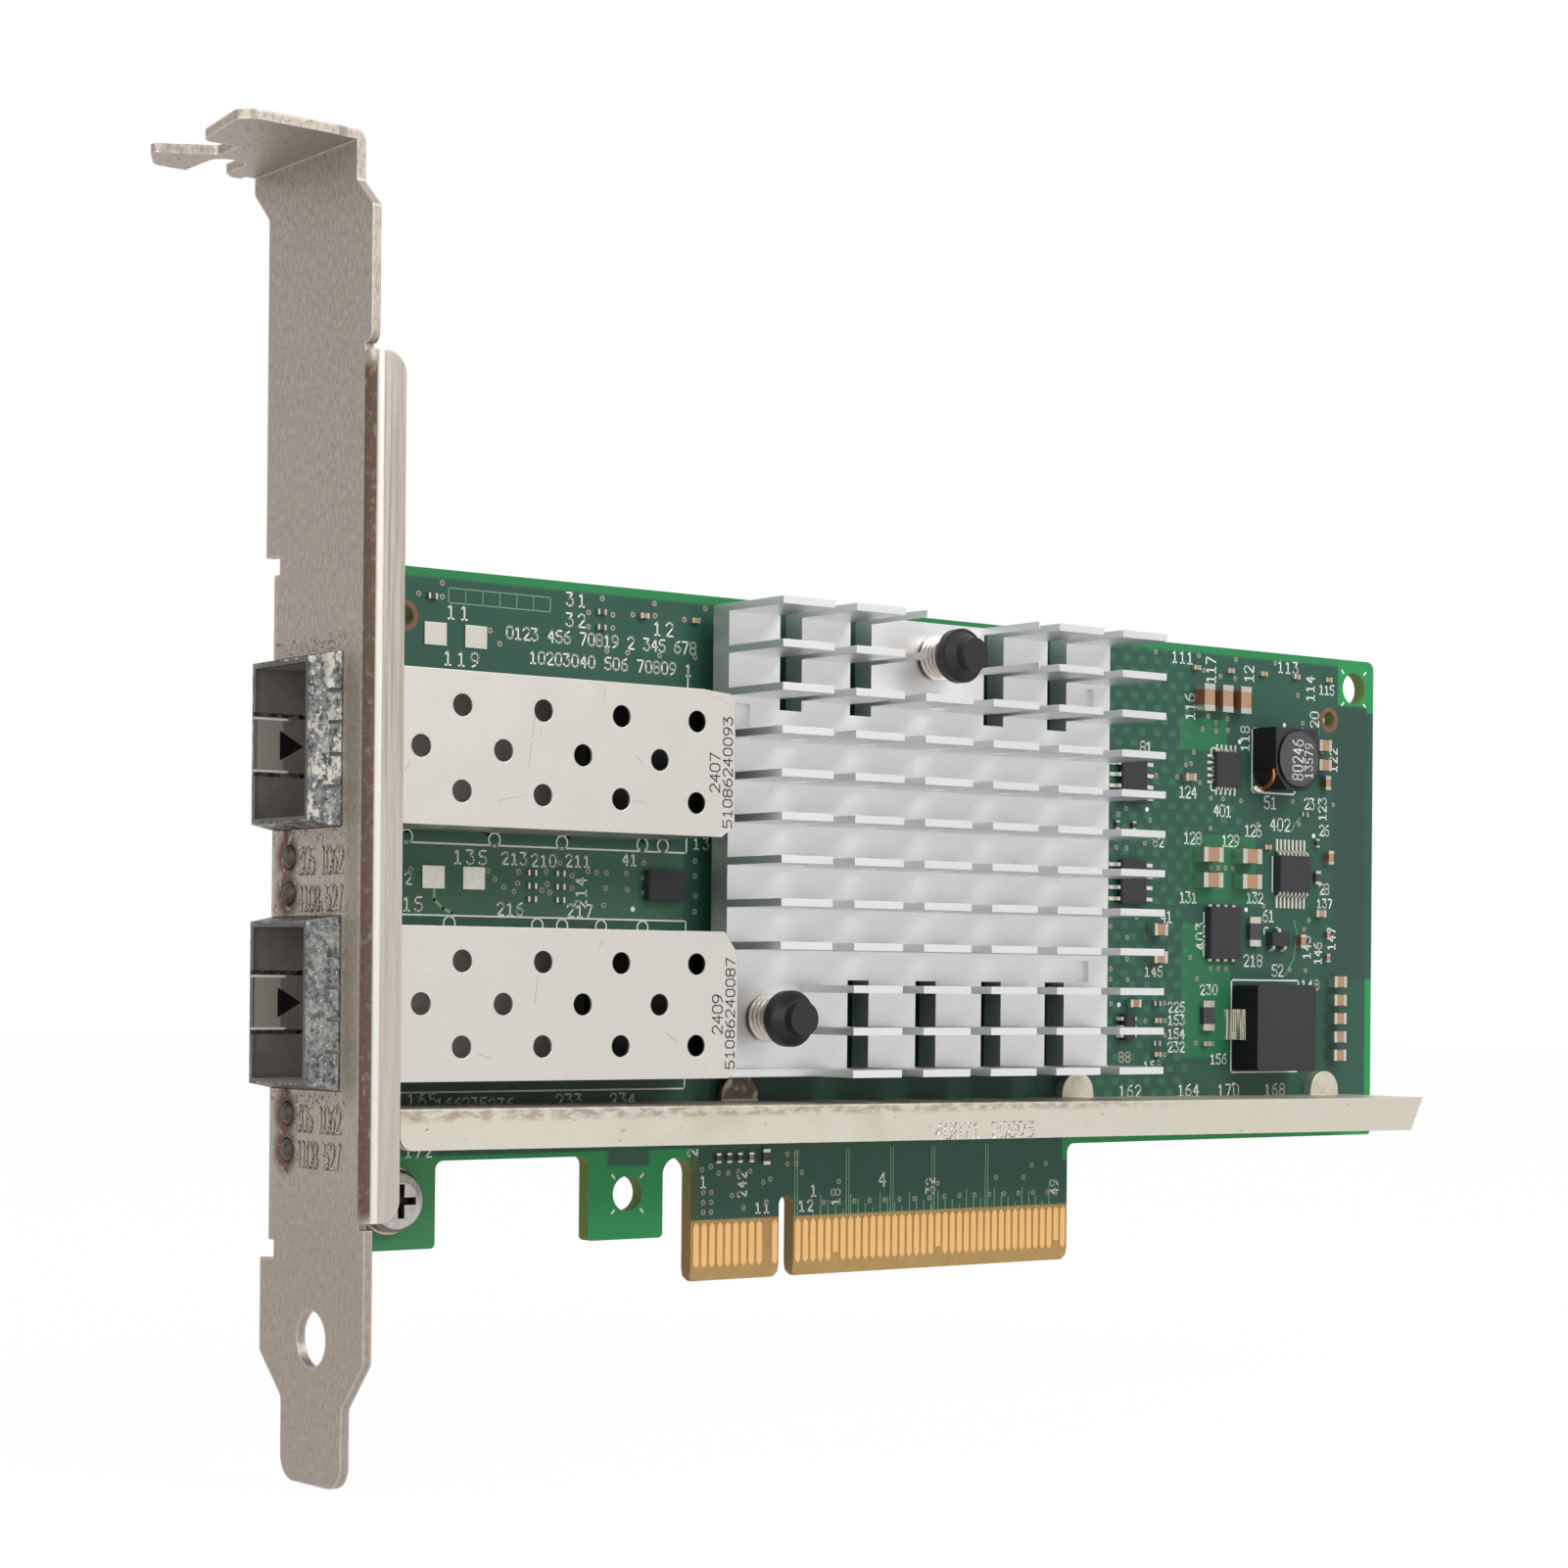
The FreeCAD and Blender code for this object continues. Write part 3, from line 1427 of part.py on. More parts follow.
keep(group("bar_rivets", rivets))


# ---------------------------------------------------------------- inductors
core = Shaped("round_inductor_core")
drum_half = dim.drum_wide / 2
core_half = dim.drum_core / 2
plate_top = above(dim.drum_plate)
crown = above(dim.drum_tall)
rim_low = crown + dim.drum_rim
core.turn(dim.drum_x, dim.drum_z, [
    (0, front),
    (drum_half, front),
    (drum_half, plate_top),
    (core_half, plate_top),
    (core_half, rim_low),
    (drum_half, rim_low),
    (drum_half, crown),
    (0, crown),
])
keep(core)
winding = Shaped("round_inductor_winding")
winding.turn(dim.drum_x, dim.drum_z, [
    (core_half, plate_top),
    (drum_half - dim.winding_gap, plate_top),
    (drum_half - dim.winding_gap, rim_low),
    (core_half, rim_low),
])
keep(winding)
shield = Shaped("round_inductor_shield")
shield_side = dim.drum_wide + dim.shield_margin
seat = centred(dim.drum_x, dim.drum_z, shield_side, shield_side)
shield.pad("XZ_Plane", front, [seat], dim.shield_tall, -1)
half_shield = shield_side / 2
low_corners = [
    (dim.drum_x + half_shield * side, dim.drum_z - half_shield) for side in (-1, 1)
]
shield.round("Chamfer", dim.shield_bevel, "y", low_corners)
bore = (dim.drum_x, dim.drum_z, dim.drum_wide + dim.shield_gap * 2)
shield.pocket("XZ_Plane", 0, [bore])
keep(shield)

choke = Shaped("square_inductor_body")
choke_plan = rectangle(dim.choke_left, dim.choke_right, dim.choke_low, dim.choke_high)
choke_seat = above(dim.choke_lift)
choke.pad("XZ_Plane", choke_seat, [choke_plan], dim.choke_tall - dim.choke_lift, -1)
choke.round("Fillet", dim.choke_edge, "y", choke_plan)
keep(choke)
clips = []
for name, side_x, way in (("left", dim.choke_left, -1), ("right", dim.choke_right, 1)):
    clip = Shaped(f"choke_clip_{name}")
    outer = side_x + dim.clip_thick * way
    foot = side_x + dim.clip_reach * way
    bent = [
        (side_x, above(dim.clip_rise)),
        (outer, above(dim.clip_rise)),
        (outer, above(dim.clip_thick)),
        (foot, above(dim.clip_thick)),
        (foot, front),
        (side_x, front),
    ]
    clip.pad("XY_Plane", dim.clip_low, [bent], dim.clip_high - dim.clip_low, 1)
    clips.append(clip.body)
keep(group("square_inductor_clips", clips))


# ---------------------------------------------------------------- leaded chips
def chip_body(label, x, z, wide, long, tall):
    """Moulded package just clear of the board, with its upper edges bevelled."""
    chip = Shaped(label)
    plan = centred(x, z, wide, long)
    chip.pad("XZ_Plane", above(dim.chip_lift), [plan], tall - dim.chip_lift, -1)
    top = above(tall)
    along_z = [(plan[0][0], top), (plan[1][0], top)]
    chip.round("Chamfer", dim.chip_edge, "z", along_z)
    return chip


def gull_profile(side, way, reach, tall):
    """Side view of a gull-wing lead: shoulder, slope and foot."""
    thick = dim.lead_thick
    shoulder = tall / 2
    bend = dim.lead_shoulder
    toe = reach
    heel = bend + thick
    points = [
        (0, shoulder + thick),
        (bend, shoulder + thick),
        (heel + thick / 2, thick),
        (toe, thick),
        (toe, 0),
        (heel, 0),
        (bend - thick / 2, shoulder),
        (0, shoulder),
    ]
    return [(side + as_size(out) * way, above(height)) for out, height in points]


def lead_row(label, row_axis, side, way, reach, tall, middle, wide, pitch, count):
    """Leads along one side of a chip, evenly spaced about its middle."""
    row = Shaped(label)
    profile = gull_profile(side, way, reach, tall)
    start = middle - pitch * (count - 1) / 2 - wide / 2
    if row_axis == "z":
        lead = row.pad("XY_Plane", start, [profile], wide, 1)
    else:
        turned = [(y, out) for out, y in profile]
        lead = row.pad("YZ_Plane", start, [turned], wide, 1)
    if count > 1:
        row.repeat(lead, row_axis, pitch, count)
    return row.body


leads = []
packages = []
for name, z in (("upper", dim.so_upper_z), ("lower", dim.so_lower_z)):
    wide = dim.so_body_wide
    long = dim.so_body_long
    tall = dim.so_body_tall
    packages.append(chip_body(f"memory_{name}", dim.so_body_x, z, wide, long, tall).body)
    for side_name, way in (("left", -1), ("right", 1)):
        side = dim.so_body_x + wide / 2 * way
        label = f"memory_{name}_{side_name}"
        row = lead_row(label, "z", side, way, dim.so_lead_reach, tall, z,
                       dim.so_lead_wide, dim.so_lead_pitch, 4)
        leads.append(row)
keep(group("memory_chips", packages))
regulator = chip_body("control_chip", dim.tssop_x, dim.tssop_z, dim.tssop_long,
                      dim.tssop_wide, dim.tssop_tall)
keep(regulator)
for side_name, way in (("low", -1), ("high", 1)):
    side = dim.tssop_z + dim.tssop_wide / 2 * way
    row = lead_row(f"control_{side_name}", "x", side, way, dim.tssop_lead_reach,
                   dim.tssop_tall, dim.tssop_x, dim.tssop_lead_wide,
                   dim.tssop_lead_pitch, 8)
    leads.append(row)
long = dim.small_long
wide = dim.small_wide
logic = chip_body("small_logic", dim.small_x, dim.small_z, wide, long, dim.small_tall)
switch = chip_body("small_switch", dim.sot_x, dim.sot_z, long, wide, dim.small_tall)
small_bodies = [logic.body, switch.body]
for side_name, way in (("left", -1), ("right", 1)):
    row = lead_row(f"logic_{side_name}", "z", dim.small_x + wide / 2 * way, way,
                   dim.sot_lead_reach, dim.small_tall, dim.small_z, dim.sot_lead_wide,
                   dim.sot_lead_pitch, 3)
    leads.append(row)
for side_name, way, count in (("low", -1, 2), ("high", 1, 1)):
    row = lead_row(f"switch_{side_name}", "x", dim.sot_z + wide / 2 * way, way,
                   dim.sot_lead_reach, dim.small_tall, dim.sot_x, dim.sot_lead_wide,
                   dim.sot_lead_pitch * 2, count)
    leads.append(row)
keep(group("small_chips", small_bodies))
keep(group("chip_leads", leads))


# ---------------------------------------------------------------- flat chips
qfn = chip_body("driver_chip", dim.qfn_x, dim.qfn_z, dim.qfn_side, dim.qfn_side, dim.qfn_tall)
keep(qfn)
power = chip_body("power_switch", dim.power_x, dim.power_z, dim.power_wide,
                  dim.power_long, dim.power_tall)
keep(power)
quartz = chip_body("oscillator", dim.quartz_x, dim.quartz_z, dim.quartz_long,
                   dim.quartz_wide, dim.quartz_tall)
keep(quartz)
flats = []
half_qfn = dim.qfn_side / 2
for way in (-1, 1):
    side_name = "low" if way < 0 else "high"
    flat = Shaped(f"driver_pads_{side_name}_z")
    reach = dim.qfn_pad_reach
    start_x = dim.qfn_x - dim.qfn_pad_pitch * 2.5
    plan = centred(start_x, dim.qfn_z + (half_qfn + reach / 2) * way, dim.qfn_pad_wide, reach)
    pad = flat.pad("XZ_Plane", front, [plan], dim.lead_thick, -1)
    flat.repeat(pad, "x", dim.qfn_pad_pitch, 6)
    flats.append(flat.body)
    flat = Shaped(f"driver_pads_{side_name}_x")
    start_z = dim.qfn_z - dim.qfn_pad_pitch * 2.5
    plan = centred(dim.qfn_x + (half_qfn + reach / 2) * way, start_z, reach, dim.qfn_pad_wide)
    pad = flat.pad("XZ_Plane", front, [plan], dim.lead_thick, -1)
    flat.repeat(pad, "z", dim.qfn_pad_pitch, 6)
    flats.append(flat.body)
    flat = Shaped(f"power_pads_{side_name}")
    reach = dim.power_lead_reach
    start_x = dim.power_x - dim.power_lead_pitch * 1.5
    middle_z = dim.power_z + (dim.power_long / 2 + reach / 2) * way
    plan = centred(start_x, middle_z, dim.power_lead_wide, reach)
    pad = flat.pad("XZ_Plane", front, [plan], dim.lead_thick, -1)
    flat.repeat(pad, "x", dim.power_lead_pitch, 4)
    flats.append(flat.body)
    flat = Shaped(f"quartz_pads_{side_name}")
    middle_x = dim.quartz_x + (dim.quartz_long / 2 + reach / 2) * way
    plan = centred(middle_x, dim.quartz_z - dim.quartz_wide / 4, reach, dim.power_lead_wide)
    pad = flat.pad("XZ_Plane", front, [plan], dim.lead_thick, -1)
    flat.repeat(pad, "z", dim.quartz_wide / 2, 2)
    flats.append(flat.body)
keep(group("flat_chip_pads", flats))


# ---------------------------------------------------------------- chip capacitors
cap_bodies = []
cap_ends = []
resistor_bodies = []
resistor_ends = []


def chip_part(label, x, z, long, wide, tall, upright, bodies, ends):
    """Ceramic block with a metal cap on each end, long side along Z when upright."""
    end = long * dim.end_share
    grow = dim.end_grow
    half = long / 2
    spans = (
        ("body", -half + end, half - end, Size(0)),
        ("low_end", -half, -half + end, grow),
        ("high_end", half - end, half, grow),
    )
    for part, low, high, extra in spans:
        across = wide / 2 + extra
        along_x = (x - across, x + across) if upright else (x + low, x + high)
        along_z = (z + low, z + high) if upright else (z - across, z + across)
        piece = block(f"{label}_{part}", along_x, (above(tall + extra), front), along_z)
        (bodies if part == "body" else ends).append(piece)


large = (dim.large_cap_long, dim.large_cap_wide, dim.large_cap_tall)
mid = (dim.mid_cap_long, dim.mid_cap_wide, dim.mid_cap_tall)
small = (dim.small_cap_long, dim.small_cap_wide, dim.small_cap_tall)
tiny = (dim.tiny_cap_long, dim.tiny_cap_wide, dim.tiny_cap_tall)
sense = (dim.sense_long, dim.sense_wide, dim.sense_tall)
tiny_flat = (dim.tiny_cap_long, dim.tiny_cap_wide, dim.tiny_res_tall)
small_flat = (dim.small_cap_long, dim.small_cap_wide, dim.small_res_tall)
capacitors = []
for number in range(3):
    capacitors.append((dim.trio_x + dim.trio_pitch * number, dim.trio_z, large, True))
for x in (dim.quad_left_x, dim.quad_right_x):
    for z in (dim.quad_high_z, dim.quad_low_z):
        capacitors.append((x, z, large, False))
for number in range(5):
    z = dim.column_z + dim.column_pitch * number
    capacitors.append((dim.column_x, z, mid, False))
capacitors.append((dim.pair_x, dim.pair_high_z, mid, False))
capacitors.append((dim.pair_x, dim.pair_low_z, mid, False))
capacitors.append((dim.small_cap_left_x, dim.small_cap_left_z, small, False))
capacitors.append((dim.small_cap_right_x, dim.small_cap_right_z, small, True))
capacitors.append((dim.small_cap_low_x, dim.small_cap_low_z, small, False))
for number in range(5):
    x = dim.tiny_row_x + dim.tiny_row_pitch * number
    capacitors.append((x, dim.tiny_row_z, tiny, False))
for number in range(2):
    x = dim.top_cap_x + dim.top_cap_pitch * number
    capacitors.append((x, dim.top_row_z, tiny, False))
capacitors += [
    (dim.aisle_x, dim.aisle_high_z, mid, False),
    (dim.aisle_x, dim.aisle_low_z, mid, False),
    (dim.aisle_side_x, dim.aisle_part_z + dim.aisle_part_pitch * 3, small, False),
    (dim.aisle_part_x, dim.aisle_part_z, tiny, False),
    (dim.aisle_part_x, dim.aisle_part_z + dim.aisle_part_pitch * 2, tiny, False),
    (dim.bench_x, dim.bench_z, tiny, False),
    (dim.neck_part_x, dim.neck_part_z, tiny, False),
    (dim.edge_far_x, dim.edge_far_z, small, True),
    (dim.edge_far_x, dim.edge_low_z, tiny, True),
    (dim.edge_far_x, dim.edge_foot_z, tiny, True),
    (dim.upright_x, dim.upright_z, small, True),
    (dim.foot_row_x + dim.foot_row_pitch * 3, dim.foot_row_z, tiny, True),
]
for number, (x, z, sizes, upright) in enumerate(capacitors, start=1):
    chip_part(f"cap_{number}", x, z, *sizes, upright, cap_bodies, cap_ends)
resistors = [
    (dim.sense_high_x, dim.sense_high_z, sense, True),
    (dim.sense_low_x, dim.sense_low_z, sense, True),
    (dim.corner_part_x, dim.top_row_z, tiny_flat, False),
    (dim.link_x, dim.top_row_z, tiny_flat, False),
    (dim.link_x, dim.link_low_z, tiny_flat, False),
    (dim.foot_block_x, dim.foot_row_z, small_flat, True),
    (dim.aisle_part_x, dim.aisle_part_z + dim.aisle_part_pitch * 3, tiny_flat, False),
    (dim.aisle_part_x, dim.aisle_part_z + dim.aisle_part_pitch * 0.65, tiny_flat, False),
    (dim.notch_part_x, dim.notch_part_z, tiny_flat, False),
    (dim.edge_near_x, dim.edge_high_z, tiny_flat, True),
    (dim.edge_near_x, dim.edge_middle_z, small_flat, True),
]
for column in range(2):
    for row in range(3):
        x = dim.between_x + dim.between_pitch_x * column
        z = dim.between_z + dim.between_pitch_z * row
        resistors.append((x, z, tiny_flat, False))
for number in range(3):
    x = dim.foot_row_x + dim.foot_row_pitch * number
    resistors.append((x, dim.foot_row_z, tiny_flat, True))
for number in range(2):
    x = dim.under_fin_x + dim.under_fin_pitch * number
    resistors.append((x, dim.under_fin_z, tiny_flat, True))
for number, (x, z, sizes, upright) in enumerate(resistors, start=1):
    label = f"resistor_{number}"
    chip_part(label, x, z, *sizes, upright, resistor_bodies, resistor_ends)
keep(group("capacitor_bodies", cap_bodies))
keep(group("capacitor_ends", cap_ends))
keep(group("resistor_bodies", resistor_bodies))
keep(group("resistor_ends", resistor_ends))

tinned = []
for row, z in (("high", dim.pad_high_z), ("low", dim.pad_low_z)):
    for number in range(2):
        x = dim.pad_x + dim.pad_pitch * number
        tinned.append(block(
            f"tinned_{row}_{number}",
            (x - dim.pad_wide / 2, x + dim.pad_wide / 2),
            (above(dim.pad_thick), front),
            (z - dim.pad_tall / 2, z + dim.pad_tall / 2),
        ))
keep(group("tinned_pads", tinned))


# ---------------------------------------------------------------- check and export
doc.recompute()
for thing in doc.Objects:
    if "Invalid" in thing.State or "Error" in thing.State:
        raise ValueError(f"{thing.Label} failed: {thing.State}")
os.makedirs("parts", exist_ok=True)
for thing in sub_parts:
    if thing.Shape.isNull() or not thing.Shape.isValid():
        raise ValueError(f"{thing.Label} has no valid shape")
for thing in sub_parts:
    thing.Shape.exportStep(f"parts/{thing.Label}.step")
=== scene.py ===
import math

import bmesh
import bpy
from mathutils import Matrix, Vector


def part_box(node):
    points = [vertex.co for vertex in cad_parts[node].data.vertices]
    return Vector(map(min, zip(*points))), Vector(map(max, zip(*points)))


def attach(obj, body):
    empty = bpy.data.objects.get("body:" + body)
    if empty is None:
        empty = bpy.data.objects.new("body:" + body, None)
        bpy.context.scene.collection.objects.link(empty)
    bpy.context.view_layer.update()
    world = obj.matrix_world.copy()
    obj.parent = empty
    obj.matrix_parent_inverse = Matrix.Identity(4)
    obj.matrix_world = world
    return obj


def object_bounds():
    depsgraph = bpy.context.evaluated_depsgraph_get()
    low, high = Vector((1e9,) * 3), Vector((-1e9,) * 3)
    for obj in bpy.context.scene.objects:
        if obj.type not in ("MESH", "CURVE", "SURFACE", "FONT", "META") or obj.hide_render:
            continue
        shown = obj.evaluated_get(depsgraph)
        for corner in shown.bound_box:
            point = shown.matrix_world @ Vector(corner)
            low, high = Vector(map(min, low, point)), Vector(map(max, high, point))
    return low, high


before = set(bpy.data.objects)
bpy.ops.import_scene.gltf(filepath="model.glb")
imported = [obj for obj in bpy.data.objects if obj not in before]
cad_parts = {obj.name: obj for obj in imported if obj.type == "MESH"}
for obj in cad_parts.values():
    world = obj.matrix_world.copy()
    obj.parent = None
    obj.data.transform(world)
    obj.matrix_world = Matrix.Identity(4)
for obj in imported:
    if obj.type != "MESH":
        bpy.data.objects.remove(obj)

# Dual-port network card on its bracket. The script follows the card as it is put
# together: room and camera, bare board, its small parts, heat sink, cages, bracket,
# stiffener bar. Lengths in the sections are millimetres unless a name says metres.
cad_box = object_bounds()


# -------- camera
# A long lens level with the lower port, standing off the card's front left and
# shifted up so that upright edges stay upright. Angles are in degrees.
MM = 0.001
eye = Vector((-206.493, -264.298, 29.570)) * MM
yaw = math.radians(38.009)
rise = math.radians(0.181)
lean = math.radians(0.494)
ahead = Vector((
    math.sin(yaw) * math.cos(rise),
    math.cos(yaw) * math.cos(rise),
    math.sin(rise),
))
level = Vector((math.cos(yaw), -math.sin(yaw), 0))
upward = level.cross(ahead)
right = level * math.cos(lean) + upward * math.sin(lean)
upward = upward * math.cos(lean) - level * math.sin(lean)
lens = bpy.data.cameras.new("lens")
lens.sensor_width = 36
lens.lens = 74.957194
lens.shift_y = 0.1233154
lens.clip_start = 0.01
camera = bpy.data.objects.new("camera", lens)
camera.matrix_world = Matrix.Translation(eye) @ Matrix((
    (right.x, upward.x, -ahead.x, 0),
    (right.y, upward.y, -ahead.y, 0),
    (right.z, upward.z, -ahead.z, 0),
    (0, 0, 0, 1),
))
bpy.context.scene.collection.objects.link(camera)
bpy.context.scene.camera = camera


# -------- room
# Pale floor and backdrop, three soft panels and an even sky, as in a small studio.
# They are painted like the card itself: a Finish is one material, and a Shade is a
# value that varies over it and can be added, scaled and mixed.
class Shade:
    """A node's output that can be used in sums."""

    def __init__(self, finish, socket):
        self.finish = finish
        self.socket = socket

    def sum(self, operation, first, second=0.0):
        sockets = {0: first, 1: second}
        return self.finish.node("Math", sockets, operation=operation)

    def __add__(self, other):
        return self.sum("ADD", self, other)

    def __sub__(self, other):
        return self.sum("SUBTRACT", self, other)

    def __mul__(self, other):
        return self.sum("MULTIPLY", self, other)

    def __truediv__(self, other):
        return self.sum("DIVIDE", self, other)

    def __rsub__(self, other):
        return self.sum("SUBTRACT", other, self)

    __radd__ = __add__
    __rmul__ = __mul__

    def most(self, other):
        return self.sum("MAXIMUM", self, other)

    def out(self, name):
        node = self.socket.node
        return Shade(self.finish, node.outputs[name])


class Finish:
    """One material: a principled surface and the nodes that vary it."""

    def __init__(self, name, **even):
        self.material = bpy.data.materials.new(name)
        self.material.use_nodes = True
        self.tree = self.material.node_tree
        self.surface = self.tree.nodes["Principled BSDF"]
        for socket, value in even.items():
            label = socket.replace("_", " ").title().replace("Ior", "IOR")
            self.surface.inputs[label].default_value = value
        spot = self.node("TexCoord", output="Object")
        self.spot = self.vector("SCALE", spot, Scale=1000)
        parts = self.node("SeparateXYZ", {0: self.spot})
        self.x = parts.out("X")
        self.y = parts.out("Y")
        self.z = parts.out("Z")

    def node(self, kind, sockets=None, output=0, **settings):
        """A node with its settings, then what its sockets take; gives one output."""
        made = self.tree.nodes.new("ShaderNode" + kind)
        for name, value in settings.items():
            setattr(made, name, value)
        for name, value in (sockets or {}).items():
            self.feed(made.inputs[name], value)
        return Shade(self, made.outputs[output])

    def feed(self, socket, value):
        if isinstance(value, Shade):
            self.tree.links.new(value.socket, socket)
        elif socket.type == "RGBA":
            socket.default_value = (*value, 1)
        else:
            socket.default_value = value

    def vector(self, operation, first, second=(0, 0, 0), **named):
        sockets = {0: first, 1: second, **named}
        return self.node("VectorMath", sockets, operation=operation)

    def mix(self, factor, first, second):
        """The first colour where factor is nought, the second where it is one."""
        return self.node("Mix", {0: factor, 6: first, 7: second}, 2, data_type="RGBA")

    def noise(self, size, detail=2.0, rough=0.5, stretch=(1, 1, 1), seed=0.0):
        """Soft clouds whose features are about size across, from 0 to 1."""
        spot = self.vector("MULTIPLY", self.spot, [1 / (size * s) for s in stretch])
        spot = self.vector("ADD", spot, (seed, seed * 1.7, -seed))
        sockets = {"Vector": spot, "Scale": 1.0, "Detail": detail, "Roughness": rough}
        return self.node("TexNoise", sockets)

    def specks(self, size, seed=0.0, stretch=(1, 1, 1)):
        """Distance from scattered points about size apart."""
        spot = self.vector("MULTIPLY", self.spot, [1 / (size * s) for s in stretch])
        spot = self.vector("ADD", spot, (seed, -seed, seed * 1.3))
        return self.node("TexVoronoi", {"Vector": spot, "Scale": 1.0})

    def ease(self, value, low, high, start=0.0, end=1.0):
        """Goes softly from start to end while value goes from low to high."""
        sockets = {0: value, 1: low, 2: high, 3: start, 4: end}
        return self.node("MapRange", sockets, interpolation_type="SMOOTHSTEP")

    def within(self, value, low, high, soft=0.05):
        """One between low and high, nought outside."""
        rising = self.ease(value, low - soft, low + soft)
        falling = self.ease(value, high - soft, high + soft, 1.0, 0.0)
        return rising * falling

    def area(self, low_x, high_x, low_z, high_z, soft=0.05):
        """One on an upright rectangle, nought outside."""
        across = self.within(self.x, low_x, high_x, soft)
        return across * self.within(self.z, low_z, high_z, soft)

    def near(self, place, reach):
        """One at a place in millimetres, fading to nought at reach."""
        away = self.node("VectorMath", {0: self.spot, 1: place}, "Value",
                         operation="DISTANCE")
        return self.ease(away, reach * 0.5, reach, 1.0, 0.0)

    def edge_band(self, radius):
        """One on edges about radius wide, nought on the flats."""
        rounded = self.node("Bevel", {"Radius": radius * MM}, samples=4)
        plain = self.node("NewGeometry", output="True Normal")
        facing = self.node("VectorMath", {0: rounded, 1: plain}, "Value",
                           operation="DOT_PRODUCT")
        return self.ease(facing, 0.93, 0.999, 1.0, 0.0)

    def paint(self, colour, roughness, height=None, depth=0.0, radius=0.0, metallic=None):
        """Sends what varies to the surface; height is bumped by depth millimetres, and
        corners are shaded as if rounded by radius."""
        self.feed(self.surface.inputs["Base Color"], colour)
        self.feed(self.surface.inputs["Roughness"], roughness)
        if metallic is not None:
            self.feed(self.surface.inputs["Metallic"], metallic)
        normal = None
        if radius:
            normal = self.node("Bevel", {"Radius": radius * MM}, samples=4)
        if height is not None:
            sockets = {"Height": height, "Distance": depth * MM, "Strength": 1.0}
            if normal:
                sockets["Normal"] = normal
            normal = self.node("Bump", sockets)
        if normal:
            self.feed(self.surface.inputs["Normal"], normal)
        return self.material


lowest, highest = (Vector(corner) for corner in cad_box)
middle = (lowest + highest) / 2


def room_paint(name, glow):
    """White seen straight or in a reflection, pale grey for bounced light."""
    paper = Finish(name, roughness=0.9)
    paper.surface.inputs["Base Color"].default_value = (0.8, 0.8, 0.79, 1)
    seen = paper.node("LightPath", output="Is Camera Ray")
    seen = seen.most(seen.out("Is Glossy Ray")).most(seen.out("Is Transmission Ray"))
    light = paper.node("Emission", {"Color": (1, 1, 1), "Strength": 1.0})
    surface = Shade(paper, paper.surface.outputs[0])
    end = paper.node("MixShader", {0: seen * glow, 1: surface, 2: light})
    output = paper.tree.nodes["Material Output"]
    paper.tree.links.new(end.socket, output.inputs["Surface"])
    return paper.material


def slab(name, corners, material):
    """One large flat face of the room."""
    mesh = bpy.data.meshes.new(name)
    mesh.from_pydata(corners, [], [range(len(corners))])
    mesh.materials.append(material)
    piece = bpy.data.objects.new(name, mesh)
    bpy.context.scene.collection.objects.link(piece)


# The room is in metres.
span = 6.0
floor_z = lowest.z - 0.0002
slab("floor", [(-span, -span, floor_z), (span, -span, floor_z), (span, span, floor_z),
               (-span, span, floor_z)], room_paint("floor_white", 0.975))
wall_away, wall_half, wall_foot, wall_top = 2.4, 5.0, floor_z - 1, 3.0
behind = middle + Vector((math.sin(yaw), math.cos(yaw), 0)) * wall_away
left_end, right_end = behind - level * wall_half, behind + level * wall_half
slab("backdrop", [(*left_end.xy, wall_foot), (*right_end.xy, wall_foot),
                  (*right_end.xy, wall_top), (*left_end.xy, wall_top)],
     room_paint("backdrop_white", 1.0))


def panel(name, place, size, watts):
    """A square-cornered soft light that faces the card."""
    light = bpy.data.lights.new(name, "AREA")
    light.shape = "RECTANGLE"
    light.size, light.size_y = size
    light.energy = watts
    lamp = bpy.data.objects.new(name, light)
    lamp.location = middle + Vector(place)
    aim = (middle - lamp.location).to_track_quat("-Z", "Y")
    lamp.rotation_euler = aim.to_euler()
    bpy.context.scene.collection.objects.link(lamp)


panel("key_panel", (0.25, -0.9, 0.75), (0.7, 0.7), 9.0)
panel("left_panel", (-0.9, -0.35, 0.35), (0.6, 0.8), 4.0)
panel("top_panel", (0.0, 0.1, 1.1), (1.7, 1.7), 4.5)
world = bpy.data.worlds.new("sky")
world.use_nodes = True
sky = world.node_tree.nodes["Background"]
sky.inputs["Color"].default_value = (1, 1, 1, 1)
sky.inputs["Strength"].default_value = 0.55
bpy.context.scene.world = world
bpy.context.scene.view_settings.view_transform = "Standard"


# -------- circuit board
# Glass-fibre laminate, 1.57 thick, routed to shape and covered with green resist. It
# looks dark over the copper planes and bright along the borders and the tab, where the
# planes stop. Everything else is soldered, pinned or screwed to it.
def dress(material, *nodes):
    """Gives CAD nodes a finish."""
    for node in nodes:
        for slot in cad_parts[node].material_slots:
            slot.material = material


board = Finish("board_resist", coat_weight=0.04, coat_roughness=0.2, specular_ior_level=0.3)
dark_resist = (0.026, 0.086, 0.060)
deep_resist = (0.017, 0.068, 0.046)
bright_resist = (0.016, 0.236, 0.066)
square_resist = (0.040, 0.160, 0.086)
laminate = (0.46, 0.29, 0.10)
